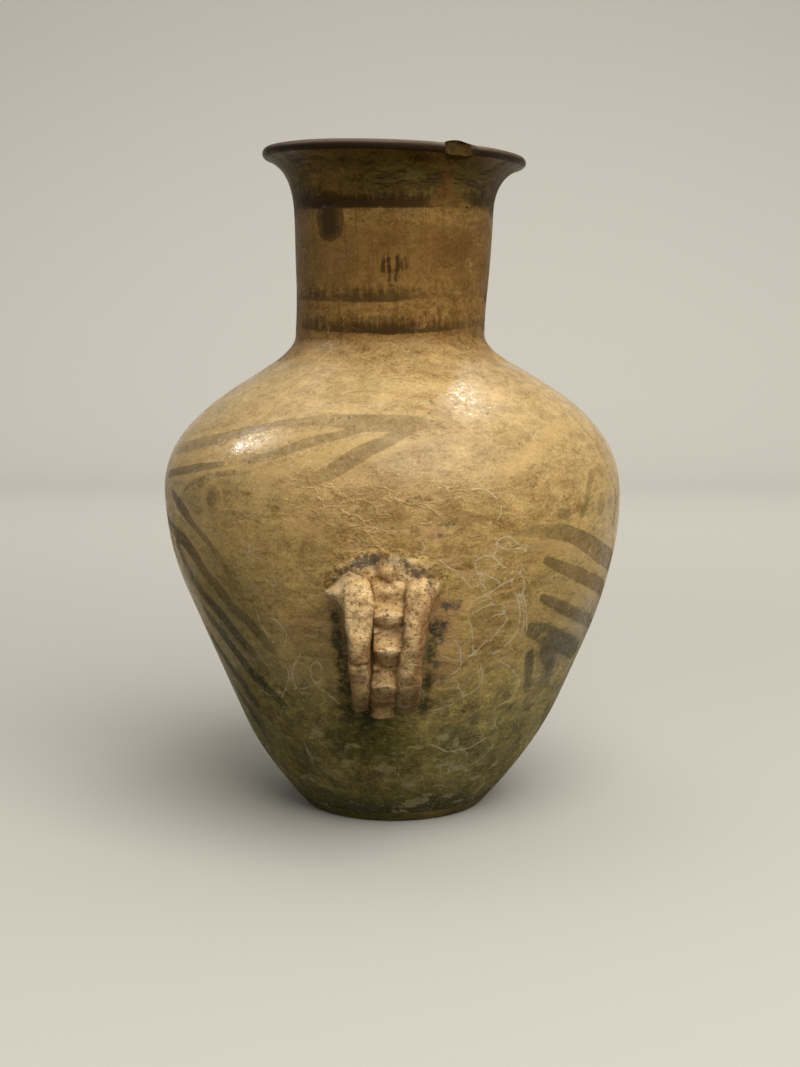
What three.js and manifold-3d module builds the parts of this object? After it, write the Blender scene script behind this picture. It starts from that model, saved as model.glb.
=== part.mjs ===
// A hand-built pottery jar: a flat base disc, a wall of clay strips laid one on another,
// a collared neck with an everted rim, and two belly handles with a finger-pressed strip.
// Millimetres, +Z up. The origin is the centre of the base, on the surface that the jar stands on.
// The front handle faces -Y and the rear handle faces +Y.
import * as THREE from "three";
import { mergeVertices } from "three/addons/utils/BufferGeometryUtils.js";
import Module from "manifold-3d";

// Heights of the vessel's stretches, from the base up
const LOWER_BODY_HEIGHT = 159;
const SHOULDER_HEIGHT = 66;
const NECK_HEIGHT = 73;
const RIM_HEIGHT = 29;

// Radii of the outer surface
const BASE_RADIUS = 46;
const BELLY_RADIUS = 115;
const SHOULDER_TOP_RADIUS = 58.5;
const NECK_RADIUS = 47.5;
const NECK_TOP_RADIUS = 49.3;
const RIM_RADIUS = 65.2;

// Slopes of the outer surface, in degrees above the horizontal
const HEEL_SLOPE = 45;
const SHOULDER_SLOPE = 31;
const NECK_TOP_SLOPE = 88;
const LIP_SLOPE = 18;

// How far each curve holds its end slope, along that slope
const HEEL_PULL = 50;
const BELLY_LOWER_PULL = 50;
const BELLY_UPPER_PULL = 32;
const SHOULDER_PULL = 34;
const NECK_ROOT_RISE = 13;
const NECK_ROOT_PULL = 5;
const NECK_PULL = 20;
const FLARE_PULL = 14;
const LIP_PULL = 9;

// Thickness of the clay
const BASE_THICKNESS = 9;
const BODY_WALL = 6.5;
const NECK_WALL = 5.5;
const LIP_THICKNESS = 5.2;

// Clay strips of the wall, and the bevelled laps between them
const LOWER_STRIPS = 5;
const SHOULDER_STRIPS = 3;
const NECK_STRIPS = 2;
const BASE_SEAM_LENGTH = 8;
const STRIP_LAP = 8;
const SLIP_GAP = 0.4;
const WALL_STEP = 11;
const ROUND_SEGMENTS = 48;
const LIP_SEGMENTS = 5;

// The chip in the lip, to the right of the front handle
const CHIP_AZIMUTH = 31;
const CHIP_WIDTH = 19;
const CHIP_DEPTH = 9;
const CHIP_HEIGHT = 11;

// Handles: three coils side by side, bent into a loop below the belly
const HANDLE_DROP = 31;
const HANDLE_OFFSET = -3;
const HANDLE_SPAN = 57;
const HANDLE_UPPER_REACH = 30;
const HANDLE_LOWER_REACH = 50;
const HANDLE_LOWER_FALL = 6;
const COIL_EMBED = 6;
const ROLL_WIDTH = 12;
const ROLL_THICKNESS = 11;
const STRIP_WIDTH = 12;
const STRIP_THICKNESS = 9;
const STRIP_TAIL = 9;
const COIL_CLEARANCE = 0.4;
const WALL_CLEARANCE = 0.3;
const ROOT_SPLAY = 1.2;
const END_TAPER = 0.86;
const PRESS_COUNT = 7;
const PRESS_DEPTH = 4;
const PRESS_STEPS = 6;
const ROLL_SIDES = 6;
const ROLL_STEPS = 18;

// The pad of clay that lutes the top of a handle to the wall
const PAD_SIDE_MARGIN = 7;
const PAD_RISE = 9.5;
const PAD_THICKNESS = 5;
const PAD_SEGMENTS = 24;

// Fineness of the working
const MERGE_DISTANCE = 1e-3;
const HALVINGS = 40;
const ENVELOPE_STEP = 3;

const wasm = await Module();
wasm.setup();

// A closed geometry as a solid that can be joined and cut.
function toSolid(geometry) {
  const bare = geometry.clone();
  bare.deleteAttribute("normal");
  bare.deleteAttribute("uv");
  const merged = mergeVertices(bare, MERGE_DISTANCE);
  const vertProperties = merged.attributes.position.array;
  const triVerts = new Uint32Array(merged.index.array);
  return new wasm.Manifold(new wasm.Mesh({ numProp: 3, vertProperties, triVerts }));
}

function toGeometry(solid) {
  const { vertProperties, triVerts } = solid.getMesh();
  const geometry = new THREE.BufferGeometry();
  geometry.setAttribute("position", new THREE.BufferAttribute(vertProperties, 3));
  geometry.setIndex(new THREE.BufferAttribute(triVerts, 1));
  geometry.computeVertexNormals();
  return geometry;
}

function cut(geometry, ...cutters) {
  return toGeometry(cutters.reduce((rest, cutter) => rest.subtract(toSolid(cutter)), toSolid(geometry)));
}

function mesh(name, geometry, material) {
  const made = new THREE.Mesh(geometry, material);
  made.name = name;
  return made;
}

// A profile of (radius, height) points turned about the upright axis.
function turned(points) {
  return new THREE.LatheGeometry(points, ROUND_SEGMENTS).rotateX(Math.PI / 2);
}

// The outer surface as a curve in (radius, height), from the edge of the base to the underside of the lip

const slope = (degrees) => {
  const angle = THREE.MathUtils.degToRad(degrees);
  return new THREE.Vector2(Math.cos(angle), Math.sin(angle));
};
const along = (point, direction, length) => point.clone().addScaledVector(direction, length);

const UPRIGHT = slope(90);
const NECK_ROOT_HEIGHT = LOWER_BODY_HEIGHT + SHOULDER_HEIGHT;
const NECK_TOP_HEIGHT = NECK_ROOT_HEIGHT + NECK_HEIGHT;
const JAR_HEIGHT = NECK_TOP_HEIGHT + RIM_HEIGHT;
const LIP_RADIUS = LIP_THICKNESS / 2;

const baseEdge = new THREE.Vector2(BASE_RADIUS, 0);
const belly = new THREE.Vector2(BELLY_RADIUS, LOWER_BODY_HEIGHT);
const shoulderTop = new THREE.Vector2(SHOULDER_TOP_RADIUS, NECK_ROOT_HEIGHT);
const neckFoot = new THREE.Vector2(NECK_RADIUS, NECK_ROOT_HEIGHT + NECK_ROOT_RISE);
const neckTop = new THREE.Vector2(NECK_TOP_RADIUS, NECK_TOP_HEIGHT);
const lipCentre = new THREE.Vector2(RIM_RADIUS - LIP_RADIUS, JAR_HEIGHT - LIP_RADIUS);
const lipUnderside = along(lipCentre, slope(LIP_SLOPE - 90), LIP_RADIUS);
const inward = slope(180 - SHOULDER_SLOPE);

function stretch(start, startSlope, startPull, end, endSlope, endPull) {
  const leaving = along(start, startSlope, startPull);
  const arriving = along(end, endSlope, -endPull);
  return new THREE.CubicBezierCurve(start, leaving, arriving, end);
}

const stretches = [
  stretch(baseEdge, slope(HEEL_SLOPE), HEEL_PULL, belly, UPRIGHT, BELLY_LOWER_PULL),
  stretch(belly, UPRIGHT, BELLY_UPPER_PULL, shoulderTop, inward, SHOULDER_PULL),
  stretch(shoulderTop, inward, NECK_ROOT_PULL, neckFoot, UPRIGHT, NECK_ROOT_PULL),
  stretch(neckFoot, UPRIGHT, NECK_PULL, neckTop, slope(NECK_TOP_SLOPE), NECK_PULL),
  stretch(neckTop, slope(NECK_TOP_SLOPE), FLARE_PULL, lipUnderside, slope(LIP_SLOPE), LIP_PULL),
];
const outerWall = new THREE.CurvePath();
stretches.forEach((piece) => outerWall.add(piece));

// Distances along the outer surface at which its stretches end
const [BELLY_AT, SHOULDER_TOP_AT, NECK_FOOT_AT, NECK_TOP_AT, LIP_AT] = outerWall.getCurveLengths();

function wallThickness(distance) {
  const { lerp, inverseLerp, clamp } = THREE.MathUtils;
  const neckShare = clamp(inverseLerp(SHOULDER_TOP_AT, NECK_FOOT_AT, distance), 0, 1);
  const lipShare = clamp(inverseLerp(NECK_TOP_AT, LIP_AT, distance), 0, 1);
  return lerp(lerp(BODY_WALL, NECK_WALL, neckShare), LIP_THICKNESS, lipShare);
}

// The point at a distance along the outer surface, moved into the clay by a depth.
function wallPoint(distance, depth = 0) {
  const share = THREE.MathUtils.clamp(distance / LIP_AT, 0, 1);
  const tangent = outerWall.getTangent(share);
  return outerWall.getPoint(share).add(new THREE.Vector2(-tangent.y, tangent.x).multiplyScalar(depth));
}

const outerPoint = (distance) => wallPoint(distance);
const innerPoint = (distance) => wallPoint(distance, wallThickness(distance));

function sample(pointAt, from, to, step = WALL_STEP) {
  const steps = Math.max(1, Math.ceil(Math.abs(to - from) / step));
  return Array.from({ length: steps + 1 }, (_, i) => pointAt(THREE.MathUtils.lerp(from, to, i / steps)));
}

// The distance on the lower body at which a quantity, which grows on the way up, reaches a value.
function distanceWhere(quantity, value) {
  let low = 0;
  let high = BELLY_AT;
  for (let i = 0; i < HALVINGS; i++) {
    const middle = (low + high) / 2;
    if (quantity(middle) < value) low = middle;
    else high = middle;
  }
  return high;
}

const wallDistance = (height) => distanceWhere((d) => outerPoint(d).y, height);
const wallRadius = (height) => outerPoint(wallDistance(height)).x;

// Wall strips

// A joint is a bevel through the wall: each strip laps down inside the one below it.
const lapJoint = (distance) => ({ outer: distance, inner: distance - STRIP_LAP });
const baseJoint = {
  outer: BASE_SEAM_LENGTH,
  inner: distanceWhere((d) => innerPoint(d).y, BASE_THICKNESS),
};

// Joints that divide the wall between two distances into equal strips, the last distance included.
function evenJoints(from, to, count) {
  return Array.from({ length: count }, (_, i) => lapJoint(THREE.MathUtils.lerp(from, to, (i + 1) / count)));
}

const HALF_GAP = SLIP_GAP / 2;
const closed = (points) => [...points, points[0].clone()];

function stripProfile(lower, upper) {
  const outside = sample(outerPoint, lower.outer + HALF_GAP, upper.outer - HALF_GAP);
  const inside = sample(innerPoint, upper.inner - HALF_GAP, lower.inner + HALF_GAP);
  return closed([...outside, ...inside]);
}

function baseProfile() {
  const edge = sample(outerPoint, 0, baseJoint.outer - HALF_GAP);
  const corner = innerPoint(baseJoint.inner - HALF_GAP);
  return [new THREE.Vector2(0, 0), ...edge, corner, new THREE.Vector2(0, corner.y)];
}

function rimProfile(lower) {
  const outside = sample(outerPoint, lower.outer + HALF_GAP, LIP_AT);
  const start = THREE.MathUtils.degToRad(LIP_SLOPE - 90);
  const lip = new THREE.ArcCurve(lipCentre.x, lipCentre.y, LIP_RADIUS, start, start + Math.PI);
  const inside = sample(innerPoint, LIP_AT, lower.inner + HALF_GAP);
  return closed([...outside, ...lip.getPoints(LIP_SEGMENTS).slice(1, -1), ...inside]);
}

function chipCutter() {
  const azimuth = THREE.MathUtils.degToRad(CHIP_AZIMUTH);
  return new THREE.IcosahedronGeometry(1, 2)
    .scale(CHIP_WIDTH / 2, CHIP_DEPTH / 2, CHIP_HEIGHT / 2)
    .translate(0, -RIM_RADIUS, JAR_HEIGHT)
    .rotateZ(azimuth);
}

const burnishedSlip = new THREE.MeshStandardMaterial({ color: 0xa97f4b, roughness: 0.45, metalness: 0 });
const neckSlip = new THREE.MeshStandardMaterial({ color: 0x7d5f38, roughness: 0.5, metalness: 0 });
const rimPaint = new THREE.MeshStandardMaterial({ color: 0x4a3734, roughness: 0.5, metalness: 0 });
const baseClay = new THREE.MeshStandardMaterial({ color: 0x8a6a42, roughness: 0.7, metalness: 0 });
const handleClay = new THREE.MeshStandardMaterial({ color: 0xb08a5c, roughness: 0.85, metalness: 0 });

function vesselWall() {
  const wall = new THREE.Group();
  wall.add(mesh("base_disc", turned(baseProfile()), baseClay));
  const groups = [
    ["lower_wall_strip", evenJoints(BASE_SEAM_LENGTH, BELLY_AT, LOWER_STRIPS), burnishedSlip],
    ["shoulder_strip", evenJoints(BELLY_AT, SHOULDER_TOP_AT, SHOULDER_STRIPS), burnishedSlip],
    ["neck_strip", evenJoints(SHOULDER_TOP_AT, NECK_TOP_AT, NECK_STRIPS), neckSlip],
  ];
  let lower = baseJoint;
  for (const [name, joints, material] of groups) {
    joints.forEach((upper, i) => {
      wall.add(mesh(`${name}_${i + 1}`, turned(stripProfile(lower, upper)), material));
      lower = upper;
    });
  }
  wall.add(mesh("rim_strip", cut(turned(rimProfile(lower)), chipCutter()), rimPaint));
  return wall;
}

// Handles, built facing -Y: a path is drawn in (distance from the axis, height)

const ROOT_HEIGHT = LOWER_BODY_HEIGHT - HANDLE_DROP;
const END_HEIGHT = ROOT_HEIGHT - HANDLE_SPAN;
const COILS_HALF_WIDTH = STRIP_WIDTH / 2 + COIL_CLEARANCE + ROLL_WIDTH;

// A loop that leaves the wall level at the root and comes back to it at an end height.
function handlePath(endHeight) {
  const root = new THREE.Vector2(wallRadius(ROOT_HEIGHT) - COIL_EMBED, ROOT_HEIGHT);
  const end = new THREE.Vector2(wallRadius(endHeight) - COIL_EMBED, endHeight);
  const out = new THREE.Vector2(1, 0);
  const upper = along(root, out, HANDLE_UPPER_REACH);
  const lower = along(end, out, HANDLE_LOWER_REACH);
  lower.y += HANDLE_LOWER_FALL;
  return new THREE.CubicBezierCurve(root, upper, lower, end);
}

// The solid that the vessel's outer surface fills, grown by a clearance, which the handles are cut to fit.
function vesselEnvelope() {
  const skin = sample((d) => wallPoint(d, -WALL_CLEARANCE), 0, SHOULDER_TOP_AT, ENVELOPE_STEP);
  const top = new THREE.Vector2(0, skin.at(-1).y);
  return turned([new THREE.Vector2(0, skin[0].y), ...skin, top]);
}

// Handles are broad where they join the wall, narrow downwards, and sit a little to one side.
function taper(geometry) {
  const position = geometry.attributes.position;
  for (let i = 0; i < position.count; i++) {
    const share = THREE.MathUtils.inverseLerp(ROOT_HEIGHT, END_HEIGHT, position.getZ(i));
    position.setX(i, position.getX(i) * THREE.MathUtils.lerp(ROOT_SPLAY, END_TAPER, share));
  }
  return geometry.translate(HANDLE_OFFSET, 0, 0);
}

// A coil of a section given in (across, through the handle), swept along the loop at a sideways offset.
function sweptCoil(section, offset) {
  const points = handlePath(END_HEIGHT)
    .getSpacedPoints(ROLL_STEPS)
    .map((p) => new THREE.Vector3(offset, -p.x, p.y));
  const extrudePath = new THREE.CatmullRomCurve3(points);
  const sweep = { extrudePath, steps: ROLL_STEPS, curveSegments: ROLL_SIDES };
  return taper(new THREE.ExtrudeGeometry(section, sweep));
}

function sideRoll(side) {
  const section = new THREE.Shape();
  section.absellipse(0, 0, ROLL_WIDTH / 2, ROLL_THICKNESS / 2, 0, 2 * Math.PI);
  return sweptCoil(section, side * (COILS_HALF_WIDTH - ROLL_WIDTH / 2));
}

// The middle coil, scooped by a row of finger presses and running on below the rolls as a tail.
// A clearance moves its back out, for cutting the room that it needs.
function pressedStrip(clearance = 0) {
  const path = handlePath(END_HEIGHT - STRIP_TAIL);
  const steps = PRESS_COUNT * PRESS_STEPS;
  const backOffset = ROLL_THICKNESS / 2;
  const front = [];
  const back = [];
  for (let i = 0; i <= steps; i++) {
    const point = path.getPointAt(i / steps);
    const tangent = path.getTangentAt(i / steps);
    const outwards = new THREE.Vector2(-tangent.y, tangent.x);
    const scoop = PRESS_DEPTH * Math.abs(Math.sin((Math.PI * i) / PRESS_STEPS));
    front.push(along(point, outwards, STRIP_THICKNESS - backOffset - scoop));
    back.unshift(along(point, outwards, -backOffset - clearance));
  }
  const sideways = new THREE.Matrix4().makeBasis(
    new THREE.Vector3(0, -1, 0),
    new THREE.Vector3(0, 0, 1),
    new THREE.Vector3(-1, 0, 0),
  );
  const outline = new THREE.Shape([...front, ...back]);
  const strip = new THREE.ExtrudeGeometry(outline, { depth: STRIP_WIDTH, bevelEnabled: false });
  return taper(strip.translate(0, 0, -STRIP_WIDTH / 2).applyMatrix4(sideways));
}

// The room that the three coils need where they pass through the pad.
function coilBlock() {
  const halfWidth = COILS_HALF_WIDTH + COIL_CLEARANCE;
  const halfThickness = ROLL_THICKNESS / 2 + COIL_CLEARANCE;
  const section = new THREE.Shape();
  section.moveTo(-halfWidth, -halfThickness);
  section.lineTo(halfWidth, -halfThickness);
  section.lineTo(halfWidth, halfThickness);
  section.lineTo(-halfWidth, halfThickness);
  return sweptCoil(section, 0);
}

// Bends a flat sheet that faces -Y round the upright axis.
function wrapRound(geometry, radius) {
  const position = geometry.attributes.position;
  for (let i = 0; i < position.count; i++) {
    const azimuth = position.getX(i) / radius;
    const reach = radius - position.getY(i);
    position.setXY(i, reach * Math.sin(azimuth), -reach * Math.cos(azimuth));
  }
  return geometry;
}

// A lens of clay on the wall, with room for the coils that come through it.
function rootPad() {
  const halfWidth = COILS_HALF_WIDTH * ROOT_SPLAY + PAD_SIDE_MARGIN;
  const halfHeight = ROLL_THICKNESS / 2 + PAD_RISE;
  const tangent = outerWall.getTangent(wallDistance(ROOT_HEIGHT) / LIP_AT);
  const lens = new THREE.SphereGeometry(1, PAD_SEGMENTS, PAD_SEGMENTS / 2)
    .scale(halfWidth, PAD_THICKNESS, halfHeight)
    .rotateX(Math.atan2(tangent.x, tangent.y))
    .translate(HANDLE_OFFSET, 0, ROOT_HEIGHT);
  return wrapRound(lens, wallRadius(ROOT_HEIGHT));
}

function handle(name, turn) {
  const envelope = vesselEnvelope();
  const group = new THREE.Group();
  group.add(mesh(`${name}_left_roll`, cut(sideRoll(-1), envelope), handleClay));
  group.add(mesh(`${name}_right_roll`, cut(sideRoll(1), envelope), handleClay));
  group.add(mesh(`${name}_pressed_strip`, cut(pressedStrip(), envelope), handleClay));
  const pad = cut(rootPad(), envelope, coilBlock(), pressedStrip(COIL_CLEARANCE));
  group.add(mesh(`${name}_root_pad`, pad, handleClay));
  group.rotation.z = turn;
  return group;
}

const jar = new THREE.Group();
jar.add(vesselWall());
jar.add(handle("front_handle", 0));
jar.add(handle("rear_handle", Math.PI));

export default jar;
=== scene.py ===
import math

import bmesh
import bpy
import numpy as np
from mathutils import Matrix


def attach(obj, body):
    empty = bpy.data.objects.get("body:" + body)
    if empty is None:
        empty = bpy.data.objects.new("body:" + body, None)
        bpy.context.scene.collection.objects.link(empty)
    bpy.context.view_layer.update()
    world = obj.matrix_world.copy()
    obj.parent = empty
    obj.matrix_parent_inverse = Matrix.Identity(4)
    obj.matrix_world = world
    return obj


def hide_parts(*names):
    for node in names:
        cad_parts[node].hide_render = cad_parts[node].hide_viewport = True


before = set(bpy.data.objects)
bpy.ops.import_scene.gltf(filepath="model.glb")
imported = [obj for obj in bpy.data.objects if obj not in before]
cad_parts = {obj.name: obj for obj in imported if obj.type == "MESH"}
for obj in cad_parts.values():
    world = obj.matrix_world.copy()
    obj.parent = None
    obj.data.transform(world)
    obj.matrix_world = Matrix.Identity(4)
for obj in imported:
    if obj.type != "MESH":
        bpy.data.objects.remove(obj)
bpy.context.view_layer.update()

MM = 0.001

# Heights of the jar's stretches, from the table up
LOWER_BODY_HEIGHT = 159 * MM
SHOULDER_HEIGHT = 66 * MM
NECK_HEIGHT = 73 * MM
RIM_HEIGHT = 29 * MM
JAR_HEIGHT = LOWER_BODY_HEIGHT + SHOULDER_HEIGHT + NECK_HEIGHT + RIM_HEIGHT

# Outside radii where the stretches meet
BASE_RADIUS = 46 * MM
BELLY_RADIUS = 115 * MM
SHOULDER_TOP_RADIUS = 58.5 * MM
NECK_RADIUS = 47.5 * MM
NECK_TOP_RADIUS = 49.3 * MM
RIM_RADIUS = 65.2 * MM
NECK_ROOT_RISE = 13 * MM

# Slopes of the outside wall in degrees from level, and how far each slope holds
HEEL_SLOPE = 45
UPRIGHT = 90
SHOULDER_SLOPE = 149
NECK_TOP_SLOPE = 88
LIP_SLOPE = 18
HEEL_PULL = 50 * MM
BELLY_LOWER_PULL = 50 * MM
BELLY_UPPER_PULL = 32 * MM
SHOULDER_PULL = 34 * MM
NECK_ROOT_PULL = 5 * MM
NECK_PULL = 20 * MM
FLARE_PULL = 14 * MM
LIP_PULL = 9 * MM

# Thickness of the clay
BASE_THICKNESS = 9 * MM
BODY_WALL = 6.5 * MM
NECK_WALL = 5.5 * MM
LIP_THICKNESS = 5.2 * MM
LIP_RADIUS = LIP_THICKNESS / 2

# Foot of the jar: its bevel, its rounding and the shallow hollow under it
FOOT_BEVEL = 1.2 * MM
FOOT_ROUNDING = 0.8 * MM
FOOT_HOLLOW = 0.9 * MM
HOLLOW_EDGE = (0.6 * BASE_RADIUS, 0.8 * BASE_RADIUS)

# Strips of clay that the wall is built from, and the laps between them
LOWER_STRIPS = 5
SHOULDER_STRIPS = 3
NECK_STRIPS = 2
BASE_SEAM_LENGTH = 8 * MM
STRIP_LAP = 8 * MM

# Fineness of the meshes
CURVE_POINTS = 400
ROUND_STEPS = 480
ROUND_SECTORS = 16
OUTSIDE_ROW = 1.5 * MM
INSIDE_ROW = 5 * MM
SEAM_ROW = 0.15 * MM
LIP_ROWS = 12
BARE_ROWS = (3, 7)
UNDER_POINTS = 22
TOP_POINTS = 16
MERGE_DISTANCE = 1e-6
SHARP_ANGLE = math.radians(50)

# Swells and hollows left by the hands: azimuth and reach in degrees, height, spread and outward amount
HAND_SWELLS = (
    (-84, 50, 78 * MM, 42 * MM, -4.6 * MM),
    (-82, 40, 184 * MM, 24 * MM, 1.5 * MM),
    (84, 45, 160 * MM, 30 * MM, -1.2 * MM),
    (80, 40, 84 * MM, 26 * MM, -0.9 * MM),
    (150, 60, 120 * MM, 50 * MM, -1.0 * MM),
)
RIPPLE_DEPTH = 0.3 * MM
RIPPLE_WAVES = (28 * MM, 75 * MM)
RIPPLE_SEED = 11
SWELL_FADE_RADIUS = 30 * MM
SWELL_FROM = -2 * MM
SWELL_FULL = 10 * MM

# Sideways lean of the neck by height, and the slant of the rim
LEAN_HEIGHTS = (218 * MM, 230 * MM, 238 * MM, 262 * MM, 292 * MM)
LEAN_SHIFTS = (0, -1.5 * MM, -1.9 * MM, -0.8 * MM, 0)
RIM_SLANT = 0.038
SLANT_FROM = 292 * MM
SLANT_FULL = 326 * MM

# Flake broken off the lip
CHIP_AZIMUTH = 29
CHIP_HALF_WIDTH = 7.2
CHIP_DEPTH = 4.8 * MM
CHIP_HEIGHT = 9 * MM
CHIP_LIFT = 1.7 * MM
CHIP_SLOPE = 0.05
CHIP_HOLLOW = 0.07 / MM
CHIP_ROUGHNESS = 0.4 * MM
CHIP_WAVES = (3 * MM, 9 * MM)
CHIP_SEED = 5
CHIP_LIFT_HEIGHT = 4 * MM
SCAR_HEIGHT = 5 * MM

# Dark paint of the lip and its rubbed crest, which is lightened as a painted highlight: where each begins
# and is full, below the top
LIP_PAINT_FROM = 5.4 * MM
LIP_PAINT_FULL = 4.2 * MM
CREST_FROM = 2.4 * MM
CREST_FULL = 1.0 * MM

# Handles: where the coils meet the wall, and how far they stand out
HANDLE_DROP = 31 * MM
HANDLE_OFFSET = -3 * MM
HANDLE_SPAN = 57 * MM
HANDLE_UPPER_REACH = 30 * MM
HANDLE_LOWER_REACH = 50 * MM
HANDLE_LOWER_FALL = 6 * MM
COIL_EMBED = 6 * MM
COIL_DEEPEST = 4.6 * MM
STRIP_TAIL = 9 * MM
ROOT_SPLAY = 1.2
END_TAPER = 0.86
COIL_SIDES = 80
COIL_STEPS = 240
COIL_UNEVENNESS = 0.35 * MM
COIL_WAVES = (7 * MM, 22 * MM)
COIL_SEED = 20
ROOT_HEIGHT = LOWER_BODY_HEIGHT - HANDLE_DROP
END_HEIGHT = ROOT_HEIGHT - HANDLE_SPAN

# Pressed strip: how far each ledge arches and sags and the back lies behind in mm, and its flatness
LEDGE_ARCH = 3.8
LEDGE_SAG = 2.8
STRIP_BACK = 5.4
STRIP_FLATNESS = 1.6

# Face of the pressed strip: distance down the strip, and how far the clay stands out there
PRESSED_FACE = (
    (0, 9), (5, 7.6), (10.8, 4.6), (12, 4), (15, -0.8), (16, -1), (21.6, 3.9), (22.8, 3.6),
    (27, -1.4), (28.2, -1.6), (35.4, 3.6), (36.8, 3.2), (45.8, -1.8), (47.2, -2), (52, 3.4), (53.6, 3),
    (72, -1.6), (73.4, -1.4), (77.2, 2.6), (79.5, 2.2), (86, 0.2), (104, -1),
)

# Pad of clay smeared over the roots of a handle
PAD_HALF_WIDTH = 30 * MM
PAD_HALF_HEIGHT = 15.5 * MM
PAD_CENTRE = 131 * MM
PAD_STAND = 3.0 * MM
PAD_EDGE = -0.7 * MM
PAD_FILLET = 1.4 * MM
PAD_BURIED = 2.6 * MM
PAD_COLUMNS = 96
PAD_ROWS = 48
PAD_LUMPS = 0.9 * MM
PAD_WAVES = (3.5 * MM, 11 * MM)
PAD_SEED = 31
PAD_FILLET_RISE = 6 * MM
PAD_FILLET_SPREAD = 7 * MM

# Camera
IMAGE_WIDTH = 800
IMAGE_HEIGHT = 1067
FOCAL_PIXELS = 1553
SENSOR = 36
CAMERA_PLACE = (3.05 * MM, -788.4 * MM, 240.5 * MM)
CAMERA_PITCH = math.radians(7.459)
NEAR_CLIP = 0.01

# Distances from the camera between which a line of sight is followed to the wall
SIGHT_NEAR = 0.6
SIGHT_FAR = 0.86
SIGHT_STEPS = 5200


# Value that rises smoothly from 0 to 1 between two limits
def rise(value, low, high):
    t = np.clip((value - low) / (high - low), 0, 1)
    return t * t * (3 - 2 * t)


# Value that is 1 at zero and dies away on both sides
def bell(value):
    return np.exp(-value * value)


# Azimuth difference in degrees, taken the short way round
def turn_between(azimuth, centre):
    return (azimuth - centre + 180) % 360 - 180


# Point a distance ahead of a start, along a slope in degrees
def ahead(start, slope, distance):
    angle = math.radians(slope)
    return np.array(start) + distance * np.array([math.cos(angle), math.sin(angle)])


# Points of a smooth curve steered by its two inner points
def steered_curve(start, first, second, end):
    t = np.linspace(0, 1, CURVE_POINTS)[:, None]
    lead = (1 - t) ** 3 * np.array(start) + 3 * (1 - t) ** 2 * t * first
    return lead + 3 * (1 - t) * t * t * second + t ** 3 * np.array(end)


# Stretch of the wall that leaves and arrives along given slopes
def wall_stretch(start, start_slope, start_pull, end, end_slope, end_pull):
    leaving = ahead(start, start_slope, start_pull)
    arriving = ahead(end, end_slope, -end_pull)
    return steered_curve(start, leaving, arriving, end)


# Distance along a chain of points
def chain_lengths(points):
    steps = np.linalg.norm(np.diff(points, axis=0), axis=1)
    return np.concatenate([[0], np.cumsum(steps)])


# Headings of length one along a chain of points
def chain_headings(points, lengths):
    slope = np.gradient(points, lengths, axis=0)
    return slope / np.linalg.norm(slope, axis=1)[:, None]


# Points of a chain at given distances along it
def along_chain(points, lengths, distance):
    columns = [np.interp(distance, lengths, points[:, i]) for i in range(points.shape[1])]
    return np.stack(columns, axis=-1)


SHOULDER_TOP = LOWER_BODY_HEIGHT + SHOULDER_HEIGHT
NECK_TOP = SHOULDER_TOP + NECK_HEIGHT
LIP_CENTRE = np.array([RIM_RADIUS - LIP_RADIUS, JAR_HEIGHT - LIP_RADIUS])
LIP_UNDERSIDE = ahead(LIP_CENTRE, LIP_SLOPE - 90, LIP_RADIUS)

base_edge = (BASE_RADIUS, 0)
belly = (BELLY_RADIUS, LOWER_BODY_HEIGHT)
shoulder_top = (SHOULDER_TOP_RADIUS, SHOULDER_TOP)
neck_foot = (NECK_RADIUS, SHOULDER_TOP + NECK_ROOT_RISE)
neck_top = (NECK_TOP_RADIUS, NECK_TOP)
stretches = (
    wall_stretch(base_edge, HEEL_SLOPE, HEEL_PULL, belly, UPRIGHT, BELLY_LOWER_PULL),
    wall_stretch(belly, UPRIGHT, BELLY_UPPER_PULL, shoulder_top, SHOULDER_SLOPE, SHOULDER_PULL),
    wall_stretch(shoulder_top, SHOULDER_SLOPE, NECK_ROOT_PULL, neck_foot, UPRIGHT, NECK_ROOT_PULL),
    wall_stretch(neck_foot, UPRIGHT, NECK_PULL, neck_top, NECK_TOP_SLOPE, NECK_PULL),
    wall_stretch(neck_top, NECK_TOP_SLOPE, FLARE_PULL, LIP_UNDERSIDE, LIP_SLOPE, LIP_PULL),
)
WALL = np.concatenate([stretches[0]] + [stretch[1:] for stretch in stretches[1:]])
WALL_LENGTHS = chain_lengths(WALL)
BELLY_AT, SHOULDER_AT, NECK_FOOT_AT, NECK_TOP_AT, LIP_AT = (
    WALL_LENGTHS[(CURVE_POINTS - 1) * (i + 1)] for i in range(len(stretches))
)


# Outside point of the wall, as radius and height, at a distance along it
def outside_point(distance):
    return along_chain(WALL, WALL_LENGTHS, distance)


# Inside point of the wall under the outside point at a distance along it
def inside_point(distance):
    slope = chain_headings(WALL, WALL_LENGTHS)
    inward = along_chain(np.stack([-slope[:, 1], slope[:, 0]], axis=1), WALL_LENGTHS, distance)
    places = (SHOULDER_AT, NECK_FOOT_AT, NECK_TOP_AT, LIP_AT)
    thickness = np.interp(distance, places, (BODY_WALL, NECK_WALL, NECK_WALL, LIP_THICKNESS))
    return outside_point(distance) + inward * np.expand_dims(thickness, -1)


# Outside radius of the wall at a height
def wall_radius(height):
    return np.interp(height, WALL[:, 1], WALL[:, 0])


# Slow uneven waves through space, from minus one to one
def slow_waves(points, seed, waves, count=18):
    chance = np.random.default_rng(seed)
    total = np.zeros(len(points))
    for _ in range(count):
        direction = chance.normal(size=3)
        direction = direction / np.linalg.norm(direction)
        length = chance.uniform(*waves)
        phase = chance.uniform(0, 2 * math.pi)
        total += np.sin(points @ direction * (2 * math.pi / length) + phase)
    return total / math.sqrt(count)


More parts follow.
